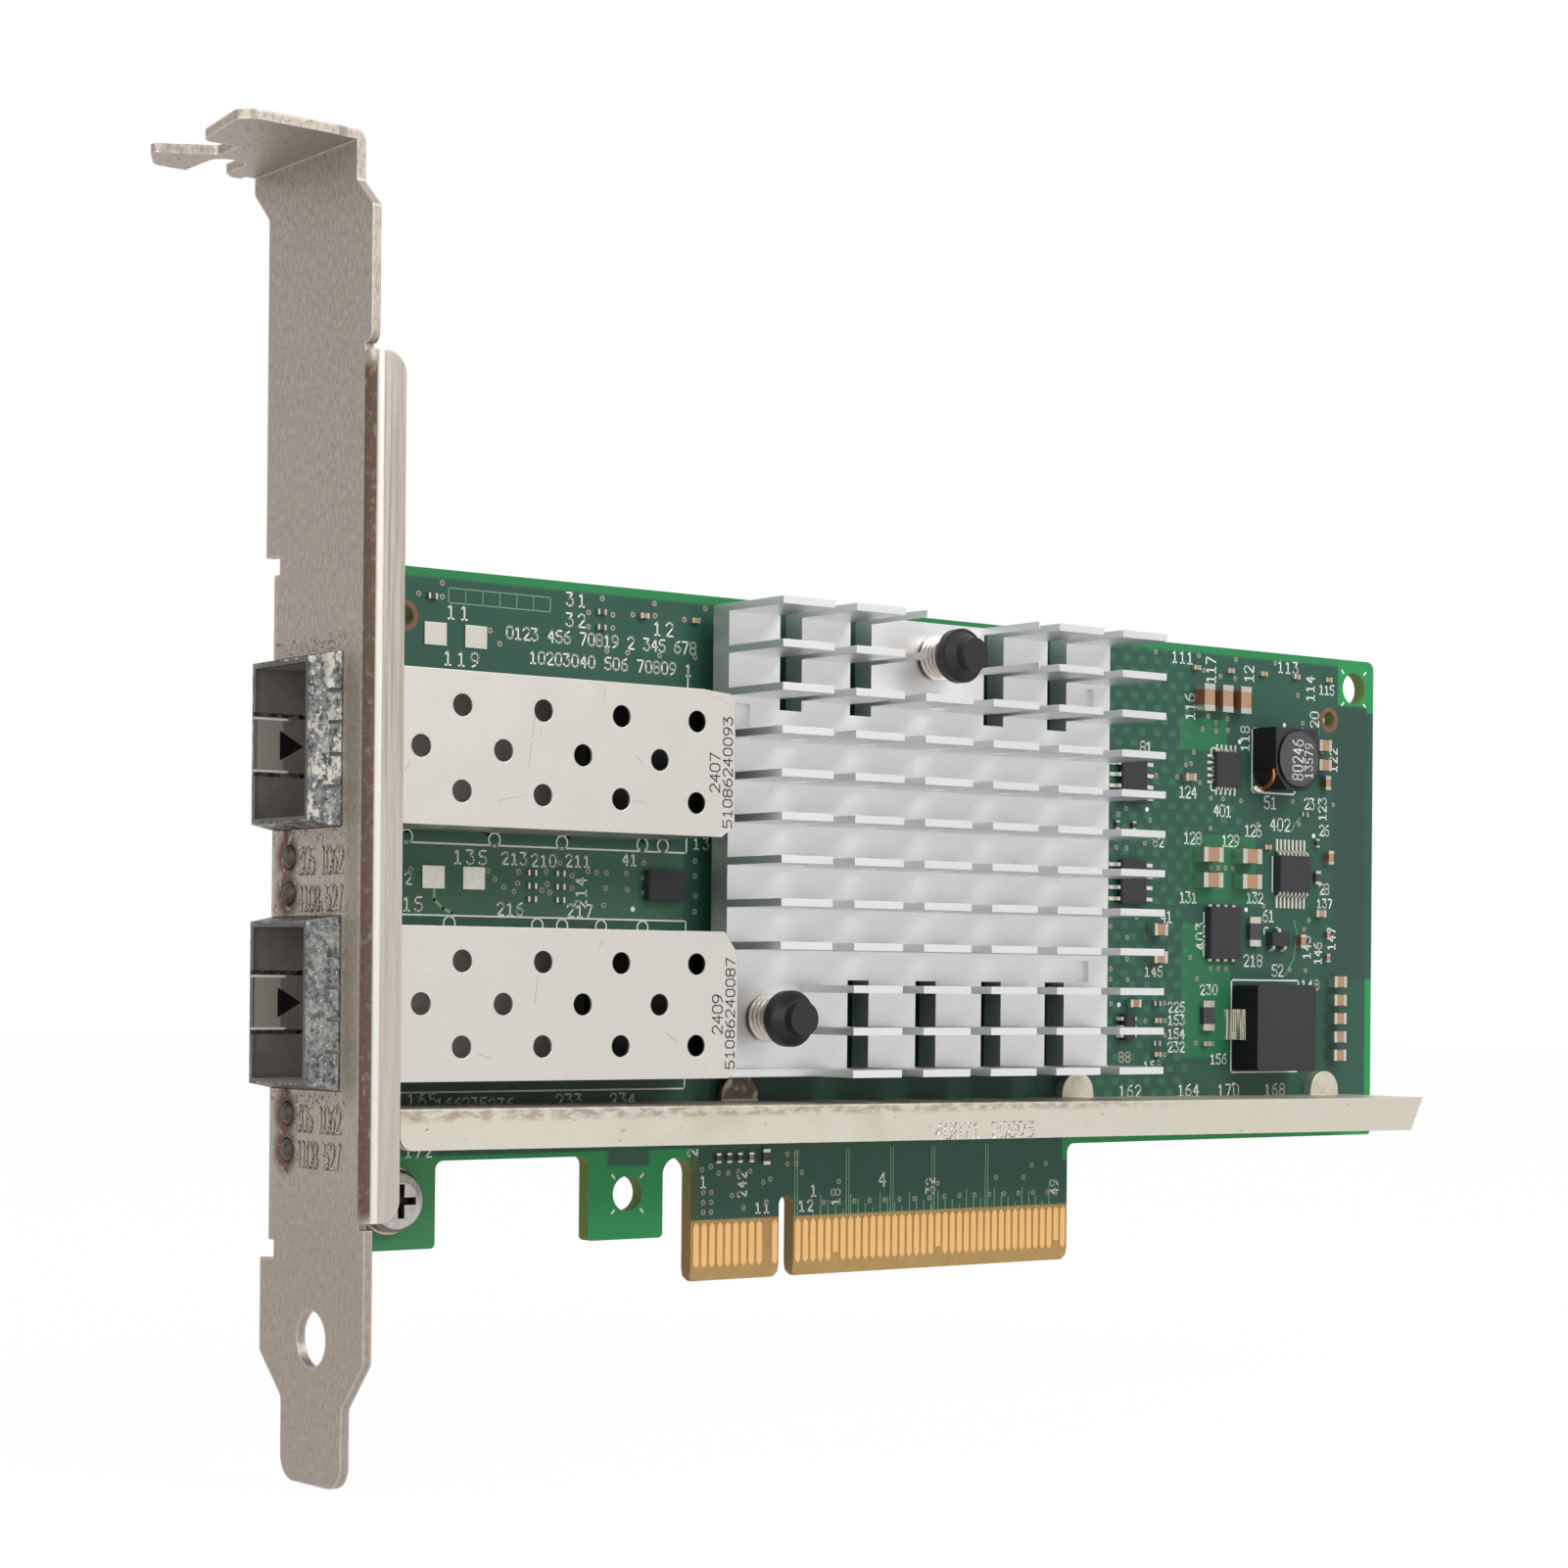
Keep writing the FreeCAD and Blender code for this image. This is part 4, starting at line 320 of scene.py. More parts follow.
# Bright: right edge but for its plain middle, top edge, foot by the bracket, lower edge
# beside the tongue, tab, and the corner with the hole.
flat_edge = 1.0 - board.within(board.z, 31.2, 62.8)
border = ((board.ease(board.x, 87.0, 87.35) * flat_edge)
          .most(board.ease(board.z, 67.8, 68.25) * 0.72)
          .most(board.area(-60, -42, 0, 13.4))
          .most(board.area(-60, 90, 11, 13.35, 0.12)
                * (1 - board.within(board.x, -11.3, 38.4)))
          .most(board.area(-24.9, -15.2, 4, 13))
          .most(board.area(82.1, 88.3, 63.5, 69)))
# Squares of stray copper right of the heat sink.
square_x = board.x / 2.4
square_z = board.z / 1.35
row = square_z.sum("FLOOR", square_z)
shift = row.sum("MODULO", row, 2.0) * 0.5
cell_x = (square_x + shift).sum("FRACT", square_x + shift)
cell_z = square_z.sum("FRACT", square_z)
squares = board.within(cell_x, 0.12, 0.55, 0.02) * board.within(cell_z, 0.12, 0.68, 0.03)
squares = squares * board.area(41, 57.5, 14, 68).most(board.area(57, 66, 48, 51.5))
# Solid copper under three groups of parts.
pours = (board.area(56.0, 63.6, 57.0, 60.6)
         .most(board.area(56.6, 64.4, 22.0, 37.2))
         .most(board.area(57.6, 68.4, 39.6, 47.4)))
clouds = board.noise(6, 3)
colour = board.mix(clouds, deep_resist, dark_resist)
# Then a duller patch at the right, a hazy one by the bracket, a brown strip beside the
# tongue, a dark bridge over the tab's foot, and a paler front between the cages.
dull = board.area(81.2, 87.4, 30.9, 63.2, 0.8)
colour = board.mix(dull, colour, (0.022, 0.058, 0.045))
colour = board.mix(squares * 0.55, colour, square_resist)
colour = board.mix(pours * 0.38, colour, bright_resist)
colour = board.mix(border, colour, bright_resist)
colour = board.mix(board.area(-60, -42, 0, 13.4, 0.5) * 0.45, colour, (0.075, 0.220, 0.115))
colour = board.mix(board.area(-12.4, -11.2, 6.2, 12.8, 0.15) * 0.8, colour, (0.060, 0.078, 0.028))
colour = board.mix(board.area(-22.4, -17.3, 11.8, 14, 0.35), colour, dark_resist)
face = board.node("NewGeometry", output="True Normal")
face = board.node("SeparateXYZ", {0: face}).out("Y")
between_cages = board.area(-58, -13.5, 36.2, 43.4, 0.3) * board.ease(face, -0.6, -0.3, 1.0, 0.0)
colour = board.mix(between_cages * 0.5, colour, (0.055, 0.150, 0.090))
# Cut edges show the layers of the laminate, golden along the tongue, whose bevelled foot
# has no resist.
edge = board.ease(face.sum("ABSOLUTE", face), 0.3, 0.6, 1.0, 0.0)
lines = board.noise(0.25, 1, stretch=(30, 1, 30))
edge_colour = board.mix(lines, (0.07, 0.13, 0.025), (0.16, 0.21, 0.05))
golden = board.ease(board.z, 6.5, 9.5, 0.9, 0.35) * board.within(board.x, -14, 41, 0.3)
edge_colour = board.mix(golden, edge_colour, (0.23, 0.14, 0.055))
bare = board.ease(board.z, 6.05, 6.2, 1.0, 0.0) * board.within(board.x, -13, 40)
bare_colour = board.mix(board.noise(1.2), laminate, (0.32, 0.195, 0.07))
colour = board.mix(bare, colour, bare_colour)
colour = board.mix(edge, colour, edge_colour)
weave = board.noise(0.5, 1, seed=2)
board.paint(colour, 0.42 + edge * 0.3 + clouds * 0.08 + dull * 0.1, weave, 0.012)
dress(board.material, "circuit_board")


# -------- board print
# White ink screened on the resist: plain numbers by the parts, outlines round them, and
# ticks at the holes. It is a skin a few hundredths thick. Digits are strokes on a field
# 0.6 wide and 1 tall.
STROKES = {
    "0": [[(.15, 0), (.45, 0), (.6, .2), (.6, .8), (.45, 1), (.15, 1), (0, .8), (0, .2), (.15, 0)]],
    "1": [[(.1, .8), (.3, 1), (.3, 0)], [(.08, 0), (.52, 0)]],
    "2": [[(0, .8), (.15, 1), (.45, 1), (.6, .8), (.6, .62), (0, 0), (.6, 0)]],
    "3": [[(0, 1), (.58, 1), (.25, .6), (.45, .6), (.6, .42), (.6, .18), (.45, 0), (.12, 0), (0, .15)]],
    "4": [[(.45, 0), (.45, 1), (0, .33), (.6, .33)]],
    "5": [[(.55, 1), (.05, 1), (0, .55), (.4, .6), (.6, .42), (.6, .18), (.45, 0), (.12, 0), (0, .12)]],
    "6": [[(.5, 1), (.15, .82), (0, .45), (0, .2), (.15, 0), (.45, 0), (.6, .2), (.6, .4), (.45, .57),
           (.15, .57), (0, .42)]],
    "7": [[(0, 1), (.6, 1), (.2, 0)]],
    "8": [[(.15, .53), (0, .68), (0, .85), (.15, 1), (.45, 1), (.6, .85), (.6, .68), (.45, .53),
           (.15, .53), (0, .36), (0, .16), (.15, 0), (.45, 0), (.6, .16), (.6, .36), (.45, .53)]],
    "9": [[(.1, 0), (.45, .18), (.6, .55), (.6, .8), (.45, 1), (.15, 1), (0, .8), (0, .6), (.15, .43),
           (.45, .43), (.6, .58)]],
}
board_face, board_back = (corner[1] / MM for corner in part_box("circuit_board"))


def join_to_card(name, mesh, material):
    """Makes a bmesh a piece of the card, and frees it."""
    data = bpy.data.meshes.new(name)
    mesh.to_mesh(data)
    mesh.free()
    data.materials.append(material)
    piece = bpy.data.objects.new(name, data)
    bpy.context.scene.collection.objects.link(piece)
    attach(piece, "root")


class Print:
    """Strokes, rings and patches of one thickness, laid on a plane and joined."""

    def __init__(self, origin, along, up, thick):
        self.mesh = bmesh.new()
        self.origin = Vector(origin)
        self.along = Vector(along)
        self.up = Vector(up)
        self.out = self.along.cross(self.up) * thick

    def spot(self, x, z, lift=0):
        return (self.origin + self.along * x + self.up * z + self.out * lift) * MM

    def sheet(self, outline, hole=None):
        """A closed flat slab over the outline, or between the outline and a hole in it."""
        count = len(outline)
        rings = []
        for points in (outline, hole) if hole else (outline,):
            for lift in (0, 1):
                rings.append([self.mesh.verts.new(self.spot(x, z, lift)) for x, z in points])
        for i in range(count):
            j = (i + 1) % count
            low, high = rings[0], rings[1]
            self.mesh.faces.new((low[i], low[j], high[j], high[i]))
            if hole:
                inner_low, inner_high = rings[2], rings[3]
                self.mesh.faces.new((inner_low[j], inner_low[i], inner_high[i], inner_high[j]))
                self.mesh.faces.new((high[i], high[j], inner_high[j], inner_high[i]))
                self.mesh.faces.new((low[j], low[i], inner_low[i], inner_low[j]))
        if not hole:
            self.mesh.faces.new(rings[1])
            self.mesh.faces.new(list(reversed(rings[0])))

    def line(self, start, end, wide):
        start, end = Vector(start), Vector(end)
        way = (end - start).normalized() * wide / 2
        across = Vector((-way.y, way.x))
        self.sheet([start - way - across, end + way - across, end + way + across,
                    start - way + across])

    def path(self, points, wide):
        for start, end in zip(points, points[1:]):
            self.line(start, end, wide)

    def frame(self, low_x, high_x, low_z, high_z, wide):
        self.path([(low_x, low_z), (high_x, low_z), (high_x, high_z), (low_x, high_z),
                   (low_x, low_z)], wide)

    def number(self, text, x, z, tall, pitch, wide, turned=False, slim=1.0):
        """Plain digits from x, z rightwards, or upwards when turned; spaces are skipped."""
        for place, letter in enumerate(text):
            for stroke in STROKES.get(letter, ()):
                points = []
                for u, v in stroke:
                    u = u * tall * slim + place * pitch
                    v = v * tall
                    points.append((x - v, z + u) if turned else (x + u, z + v))
                self.path(points, wide)

    def ring(self, x, z, wide, bore, sides):
        turn = [2 * math.pi * i / sides for i in range(sides)]
        outer = [(x + math.cos(a) * wide / 2, z + math.sin(a) * wide / 2) for a in turn]
        inner = [(x + math.cos(a) * bore / 2, z + math.sin(a) * bore / 2) for a in turn]
        self.sheet(outer, inner if bore else None)

    def done(self, name, material, slot=None):
        bmesh.ops.recalc_face_normals(self.mesh, faces=self.mesh.faces)
        join_to_card(name, self.mesh, material)


def on_front(face_y, thick):
    """A print on an upright face that looks to the card's front."""
    return Print((0, face_y, 0), (1, 0, 0), (0, 0, 1), thick)


def on_board(thick, back=False):
    if back:
        return Print((0, board_back, 0), (-1, 0, 0), (0, 0, 1), thick)
    return on_front(board_face, thick)


def mottled(name, size, first, second, gloss, depth=0.0, radius=0.0, detail=2.0,
            stretch=(1, 1, 1), **even):
    """A finish in which one soft cloud moves the colour from first to second, the
    roughness by gloss, which is its start and its range, and the height by depth."""
    finish = Finish(name, **even)
    cloud = finish.noise(size, detail, stretch=stretch)
    start, span = gloss
    return finish.paint(finish.mix(cloud, first, second), start + cloud * span,
                        cloud if depth else None, depth, radius)


white_ink = mottled("white_ink", 0.25, (0.62, 0.64, 0.60), (0.80, 0.81, 0.78), (0.5, 0.2), 0.006)
# Each is the text, x, z, height and pitch of its digits.
upright = [
    ("11", -41.4, 64.3, 1.3, 1.5), ("119", -41.7, 59.9, 1.3, 1.5), ("31", -27.8, 66.6, 1.25, 1.4),
    ("32", -27.8, 64.6, 1.25, 1.4), ("12", -17.3, 64.5, 1.3, 1.5),
    ("0123 456 70819 2 345 678", -34.7, 62.9, 1.15, 0.95),
    ("10203040 506 70809 1", -32.0, 60.7, 1.15, 0.98),
    ("135", -40.4, 41.1, 1.3, 1.4), ("2", -45.8, 39.0, 1.1, 1.1), ("15", -46.0, 36.5, 1.3, 1.3),
    ("213", -35.0, 41.2, 1.15, 1.05), ("210", -31.6, 41.1, 1.15, 1.05),
    ("211", -27.6, 41.2, 1.15, 1.05), ("41", -20.9, 41.5, 1.15, 1.0), ("13", -12.2, 43.4, 1.1, 1.2),
    ("216", -35.5, 36.3, 1.2, 1.1), ("217", -27.4, 36.3, 1.2, 1.1),
    ("165", -45.3, 18.1, 1.2, 1.2), ("166", -42.1, 17.7, 1.1, 1.0), ("235", -39.2, 17.7, 1.1, 1.0),
    ("236", -36.2, 17.6, 1.1, 1.0), ("233", -28.5, 17.8, 1.2, 1.1), ("234", -22.1, 17.8, 1.2, 1.1),
    ("172", -45.5, 13.3, 1.0, 1.1),
    ("1", -11.0, 9.4, 1.2, 1.1), ("11", -4.0, 6.6, 1.1, 1.1), ("1", 3.2, 8.1, 1.2, 1.0),
    ("12", 1.7, 6.6, 1.1, 1.1), ("4", 12.3, 8.8, 1.5, 1.3),
    ("111", 54.7, 66.7, 1.3, 1.2), ("113", 71.9, 66.7, 1.3, 1.25), ("115", 78.9, 64.6, 1.1, 0.9),
    ("401", 61.5, 49.6, 1.3, 1.0), ("124", 56.0, 51.5, 1.3, 0.95), ("51", 69.8, 50.8, 1.4, 1.1),
    ("23", 76.5, 51.0, 1.25, 0.9), ("402", 70.8, 48.3, 1.4, 1.2), ("26", 79.1, 48.0, 1.2, 0.85),
    ("126", 66.6, 47.5, 1.3, 0.95), ("128", 56.8, 46.3, 1.3, 0.97), ("129", 62.9, 46.2, 1.3, 0.97),
    ("131", 56.2, 39.6, 1.2, 0.95), ("132", 67.0, 39.8, 1.2, 0.95), ("28", 79.2, 41.1, 1.2, 0.85),
    ("137", 78.8, 39.5, 1.0, 0.95), ("41", 53.2, 37.3, 1.3, 0.95), ("61", 69.7, 37.7, 1.3, 1.0),
    ("218", 66.6, 32.5, 1.3, 1.1), ("52", 71.3, 31.4, 1.3, 1.0), ("145", 50.8, 31.2, 1.1, 1.0),
    ("148", 76.3, 29.9, 1.1, 1.1), ("230", 59.6, 29.2, 1.1, 1.0), ("225", 54.5, 27.2, 1.1, 0.95),
    ("153", 54.5, 25.75, 1.1, 0.95), ("154", 54.5, 24.2, 1.1, 0.95), ("232", 54.5, 22.7, 1.1, 0.95),
    ("88", 46.9, 21.6, 1.1, 1.0), ("158", 50.8, 20.8, 0.85, 1.0), ("156", 61.3, 21.3, 1.1, 0.95),
    ("162", 47.0, 17.7, 1.3, 1.25), ("164", 56.2, 17.7, 1.3, 1.2), ("170", 62.6, 17.6, 1.3, 1.25),
    ("168", 70.3, 17.6, 1.3, 1.2), ("81", 49.8, 56.2, 1.3, 0.95), ("82", 51.9, 45.8, 1.1, 0.95),
]
sideways = [
    ("214", -23.9, 37.2, 1.3, 1.1), ("2", -10.2, 12.6, 1.2, 1.0), ("242", -4.1, 8.3, 1.1, 0.95),
    ("18", 8.3, 7.1, 1.2, 1.0), ("32", 21.2, 7.9, 1.2, 0.95), ("49", 39.0, 7.2, 1.2, 0.95),
    ("117", 63.1, 64.8, 1.5, 1.05), ("12", 69.3, 65.3, 1.5, 1.0), ("114", 79.4, 63.7, 1.4, 1.05),
    ("116", 59.8, 60.4, 1.5, 1.05), ("118", 68.5, 57.3, 1.35, 1.05), ("120", 80.2, 59.6, 1.4, 1.05),
    ("122", 83.3, 55.6, 1.3, 1.0), ("123", 81.5, 49.8, 1.3, 0.95), ("403", 61.6, 34.3, 1.4, 1.15),
    ("143", 79.0, 33.5, 1.3, 0.95), ("146", 80.9, 32.9, 1.3, 0.9), ("147", 83.2, 34.6, 1.3, 0.95),
]
stroke = 0.16
screen = on_board(0.02)
for text, x, z, tall, pitch in upright:
    screen.number(text, x, z, tall, pitch, stroke)
for text, x, z, tall, pitch in sideways:
    screen.number(text, x - tall, z, tall, pitch, stroke, turned=True, slim=0.85)
# Cage outlines, inductor outlines and the marks round the chips.
cage_right = -13.1
screen.path([(-58, 42.95), (cage_right, 42.95), (cage_right, 61.3)], stroke)
screen.path([(-58, 36.14), (cage_right, 36.14), (cage_right, 19.4), (-58, 19.4)], stroke)
screen.frame(67.7, 74.8, 52.6, 59.95, 0.2)
screen.frame(64.6, 75.7, 20.3, 30.9, 0.18)
screen.path([(61.0, 56.7), (61.0, 57.35), (61.7, 57.35)], stroke)
screen.path([(61.0, 53.1), (61.0, 52.5), (61.7, 52.5)], stroke)
screen.line((60.05, 33.6), (60.05, 38.5), stroke)
screen.line((71.2, 41.2), (71.2, 45.2), stroke)
screen.path([(69.9, 36.3), (69.9, 37.0), (70.5, 37.0)], stroke)
# Rings round the cages' pins, dots at the first leads, ticks at the two open holes.
for x, z in ((-45.7, 43.5), (-35.9, 43.5), (-28.1, 43.5), (-18.5, 43.6), (-16.0, 43.6),
             (-40.9, 35.4), (-30.9, 35.4), (-28.0, 35.4), (-23.4, 35.4), (-18.4, 35.4)):
    screen.ring(x, z, 1.45, 1.15, 14)
for x, z in ((66.9, 39.0), (78.1, 47.9), (65.6, 58.3), (73.0, 60.6), (50.9, 49.9), (-19.6, 37.2),
             (65.1, 18.9), (46.8, 28.0)):
    screen.ring(x, z, 0.55, 0, 10)
for x, z, reach in ((-19.94, 9.1, 2.25), (84.8, 65.57, 2.5)):
    for turn in (45, 135, 225, 315):
        ray = Vector((math.cos(math.radians(turn)), math.sin(math.radians(turn))))
        centre = Vector((x, z))
        screen.line(centre + ray * reach, centre + ray * (reach + 0.4), 0.2)
screen.done("board_numbers", white_ink)

# Faint lines in the resist: an empty bar of six boxes by the top edge, pairs of long
# traces down the tongue to the contacts, a short one to each contact, and three more.
faint = mottled("faint_line", 0.3, (0.13, 0.30, 0.17), (0.22, 0.38, 0.22), (0.45, 0.1))
traces = on_board(0.012)
bar_left, bar_low, bar_high = -41.3, 65.8, 67.2
traces.frame(bar_left, -29.7, bar_low, bar_high, 0.09)
for number in range(1, 6):
    x = bar_left + 1.93 * number
    traces.line((x, bar_low), (x, bar_high), 0.07)
for x in (1.1, 7.9, 13.9, 19.6, 27.2):
    for gap in (0, 0.35):
        traces.line((x + gap, 5.9), (x + gap, 12.9), 0.1)
for number in range(34):
    x = 3.5 + number
    traces.line((x, 5.95), (x, 6.6 + 0.5 * (number * 7 % 4)), 0.1)
traces.path([(-42.6, 38.6), (-42.6, 37.6), (-41.6, 36.8), (-40.6, 36.4), (-40.4, 36.1)], 0.3)
traces.path([(74.9, 37.9), (75.4, 36.5), (74.9, 33.5), (73.4, 31.5)], 0.1)
traces.path([(75.9, 50.0), (74.9, 49.2), (74.4, 48.3)], 0.12)
traces.done("board_lines", faint)
# A scorched collar round each of the two small plated holes, on both faces.
burnt = mottled("brown_ring", 0.4, (0.12, 0.05, 0.03), (0.20, 0.09, 0.05), (0.4, 0.2), 0.01)
for name, back in (("front", False), ("back", True)):
    collars = on_board(0.02, back)
    for x, z in ((80.58, 61.66), (-46.1, 64.24)):
        collars.ring(-x if back else x, z, 3.0, 1.9, 20)
    collars.done(f"hole_collars_{name}", burnt)


# -------- vias
# Small plated holes that join the copper layers, drilled right through under the
# resist: a tan ring with a dark middle, at the same places on both faces.
via_spots = [
    (-42.0, 67.6), (-44.6, 66.4), (-42.0, 66.3), (-36.6, 63.5), (-35.5, 62.3), (-25.2, 66.1),
    (-22.3, 66.1), (-25.2, 64.7), (-22.3, 64.8), (-23.6, 67.6), (-17.3, 67.6), (-11.0, 67.6),
    (-19.9, 66.3), (-17.2, 66.4), (-23.0, 62.5), (-20.5, 62.5), (-16.6, 62.5), (-12.2, 62.6),
    (-13.6, 66.3), (-45.2, 40.4), (-36.6, 40.5), (-35.8, 39.7), (-34.8, 39.0), (-33.1, 40.5),
    (-33.2, 39.4), (-33.6, 38.6), (-29.9, 40.6), (-29.8, 39.4), (-30.4, 38.8), (-29.5, 38.6),
    (-26.9, 40.3), (-28.3, 41.5), (-25.0, 40.8), (-24.0, 40.7), (-22.8, 40.7), (-20.4, 40.7),
    (-22.9, 39.2), (-20.3, 39.1), (-26.9, 39.1), (-23.1, 37.5), (-18.3, 41.8), (-12.0, 42.2),
    (-12.0, 40.7), (-11.9, 38.7), (-12.0, 37.1), (-10.8, 11.2), (-9.7, 11.5), (-8.7, 10.8),
    (-7.5, 10.8), (-6.2, 10.9), (-4.7, 10.9), (-7.0, 8.5), (-5.5, 7.2), (-2.6, 7.7), (-3.0, 9.7),
    (-2.1, 10.0), (2.0, 10.6), (0.1, 12.5), (1.2, 12.5), (1.2, 11.5), (0.1, 11.5), (1.9, 7.5),
    (6.9, 9.5), (20.4, 8.9), (28.7, 9.3), (32.7, 9.2), (33.9, 10.5), (36.0, 10.6), (37.5, 7.3),
    (52.1, 67.7), (58.9, 67.7), (64.9, 67.7), (71.4, 67.7), (59.7, 66.1), (62.4, 65.6), (64.8, 65.5),
    (60.5, 60.9), (61.7, 60.3), (59.6, 59.4), (61.8, 59.3), (63.7, 59.5), (63.6, 60.8), (75.2, 64.2),
    (76.1, 61.0), (76.1, 60.2), (79.4, 57.8), (58.2, 56.7), (57.8, 55.4), (55.6, 53.8), (52.3, 53.8),
    (57.0, 55.2), (59.2, 53.3), (61.0, 51.6), (63.0, 51.6), (65.9, 51.5), (68.7, 48.9), (47.7, 49.9),
    (51.4, 48.7), (46.5, 49.2), (46.2, 45.5), (47.8, 45.5), (50.6, 46.1), (61.0, 48.2), (74.5, 51.8),
    (75.6, 49.2), (81.4, 51.7), (49.4, 37.8), (45.4, 36.7), (48.0, 38.0), (48.0, 35.5), (45.5, 34.0),
    (48.0, 33.1), (45.5, 32.0), (45.5, 30.8), (48.1, 30.8), (57.9, 33.4), (74.2, 32.2), (45.6, 28.1),
    (79.1, 19.6), (76.9, 32.1), (69.8, 39.5), (77.4, 38.0), (58.9, 23.7), (61.6, 23.6), (54.0, 22.4),
    (50.9, 26.2), (53.9, 28.2), (54.0, 26.2), (54.0, 24.6), (59.0, 31.0), (76.6, 36.9), (52.0, 42.5),
]
via_spots += [(-10.6 + 1.0 * i, 8.9 - 1.0 * j) for i in range(2) for j in range(3)]
via_spots += [(4.9 + 2.05 * i, 7.4) for i in range(8)]
via_spots += [(21.4 + 2.12 * i, 7.5) for i in range(8)]
via_spots += [(61.1 + 1.2 * i, 43.7) for i in range(4)]
via_spots += [(61.2 + 1.25 * i, 32.2) for i in range(3)]
via_wide, via_bore = 0.56, 0.34
via_tan = mottled("via_ring", 0.4, (0.24, 0.22, 0.15), (0.46, 0.42, 0.33), (0.4, 0.2), 0.01)
via_dark = mottled("via_pit", 0.3, (0.05, 0.06, 0.04), (0.14, 0.13, 0.10), (0.6, 0.1))
for name, back in (("front", False), ("back", True)):
    rings, holes = on_board(0.02, back), on_board(0.012, back)
    for x, z in via_spots:
        rings.ring(-x if back else x, z, via_wide, via_bore, 10)
        holes.ring(-x if back else x, z, via_bore + 0.02, 0, 8)
    rings.done(f"via_rings_{name}", via_tan)
    holes.done(f"via_middles_{name}", via_dark)


# -------- edge contacts
# 49 flat fingers on each side of the tongue, hard gold plated over nickel, which slide
# into the slot. They are faintly scuffed along the way the card is pushed in.
gold = mottled("contact_gold", 0.12, (1.0, 0.63, 0.27), (0.92, 0.51, 0.20), (0.26, 0.2), 0.004,
               stretch=(1, 1, 22), metallic=1.0)
dress(gold, "contacts_front", "contacts_rear")


# -------- chips
# Packages moulded in black epoxy with a fine matt grain, on tinned leads or pads that
# are soldered to the board, and ceramic capacitors and resistors with tinned ends.
mould = Finish("chip_mould", specular_ior_level=0.3)
grain = mould.noise(0.08, 2)
broad = mould.noise(2.5, 2)
mould.paint(mould.mix(broad, (0.026, 0.026, 0.030), (0.038, 0.038, 0.042)), 0.6 + grain * 0.2,
            grain, 0.008, 0.08)
dress(mould.material, "control_chip", "controller_package", "driver_chip", "memory_chips",
      "oscillator", "power_switch", "small_chips")
tin = mottled("tin", 0.5, (0.86, 0.84, 0.77), (0.60, 0.565, 0.49), (0.25, 0.2), 0.02, 0.05,
              detail=3, metallic=1.0)
dress(tin, "flat_chip_pads", "capacitor_ends", "resistor_ends", "tinned_pads")
solder = mottled("solder", 0.3, (0.80, 0.78, 0.71), (0.52, 0.49, 0.42), (0.3, 0.2), 0.02,
                 metallic=0.35)
dress(solder, "chip_leads")
# Strips of solder stand out from under three sides of the flat driver chip.
chip_low, chip_high = ([v / MM for v in corner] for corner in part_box("driver_chip"))
chip_x, chip_z = (chip_low[0] + chip_high[0]) / 2, (chip_low[2] + chip_high[2]) / 2
strip_pitch, strip_wide = 0.75, 0.3
strips = on_board(0.05)
for number in range(5):
    x = chip_x + strip_pitch * (number - 2)
    z = chip_z + strip_pitch * (number - 2)
    strips.line((x, chip_low[2] - 0.2), (x - 0.1, chip_low[2] - 0.75), strip_wide)
    strips.line((x, chip_high[2] + 0.2), (x, chip_high[2] + 0.7), strip_wide)
    strips.line((chip_low[0] - 0.3, z), (chip_low[0] - 0.85, z), strip_wide)
strips.done("driver_chip_pads", solder, "solder")
# Fired tan ceramic with painted shade on its flanks, and dark glass over the resistors.
ceramic = Finish("ceramic")
dust = ceramic.noise(0.4, 3)
shaded_flank = ceramic.vector("ABSOLUTE", ceramic.node("NewGeometry", output="True Normal"))
shaded_flank = ceramic.ease(ceramic.node("SeparateXYZ", {0: shaded_flank}).out("Y"), 0.4, 0.7, 1.0, 0.0)
body = ceramic.mix(dust, (0.305, 0.172, 0.095), (0.395, 0.238, 0.138))
ceramic.paint(ceramic.mix(shaded_flank, body, (0.16, 0.060, 0.024)), 0.45 + dust * 0.2,
              dust, 0.01, 0.08)
dress(ceramic.material, "capacitor_bodies")
glaze = mottled("resistor_glaze", 0.3, (0.03, 0.03, 0.035), (0.055, 0.055, 0.06), (0.3, 0.2), 0.006)
dress(glaze, "resistor_bodies")


# -------- inductors
# One round drum of pressed ferrite in a square shield, wound with enamelled copper, and
# one moulded square block gripped by two tinned clips. Both are soldered to the board.
for name, shade, nodes in (
        ("ferrite", 1.0, ("round_inductor_shield", "square_inductor_body")),
        ("drum_ferrite", 2.1, ("round_inductor_core",))):
    ferrite = Finish(name, specular_ior_level=0.3)
    chalk = ferrite.noise(0.35, 3)
    # Faces that look left are painted near black as shade.
    shaded_flank = ferrite.node("SeparateXYZ", {0: ferrite.node("NewGeometry", output="True Normal")})
    shaded_flank = ferrite.ease(shaded_flank.out("X"), -0.8, -0.5, 1.0, 0.0)
    skin = ferrite.mix(chalk, [v * shade for v in (0.019, 0.019, 0.021)],
                       [v * shade for v in (0.038, 0.037, 0.040)])
    ferrite.paint(ferrite.mix(shaded_flank, skin, (0.004, 0.004, 0.004)), 0.5 + chalk * 0.25,
                  chalk, 0.015, 0.12)
    dress(ferrite.material, *nodes)
clip = Finish("clip_tin", metallic=1.0)
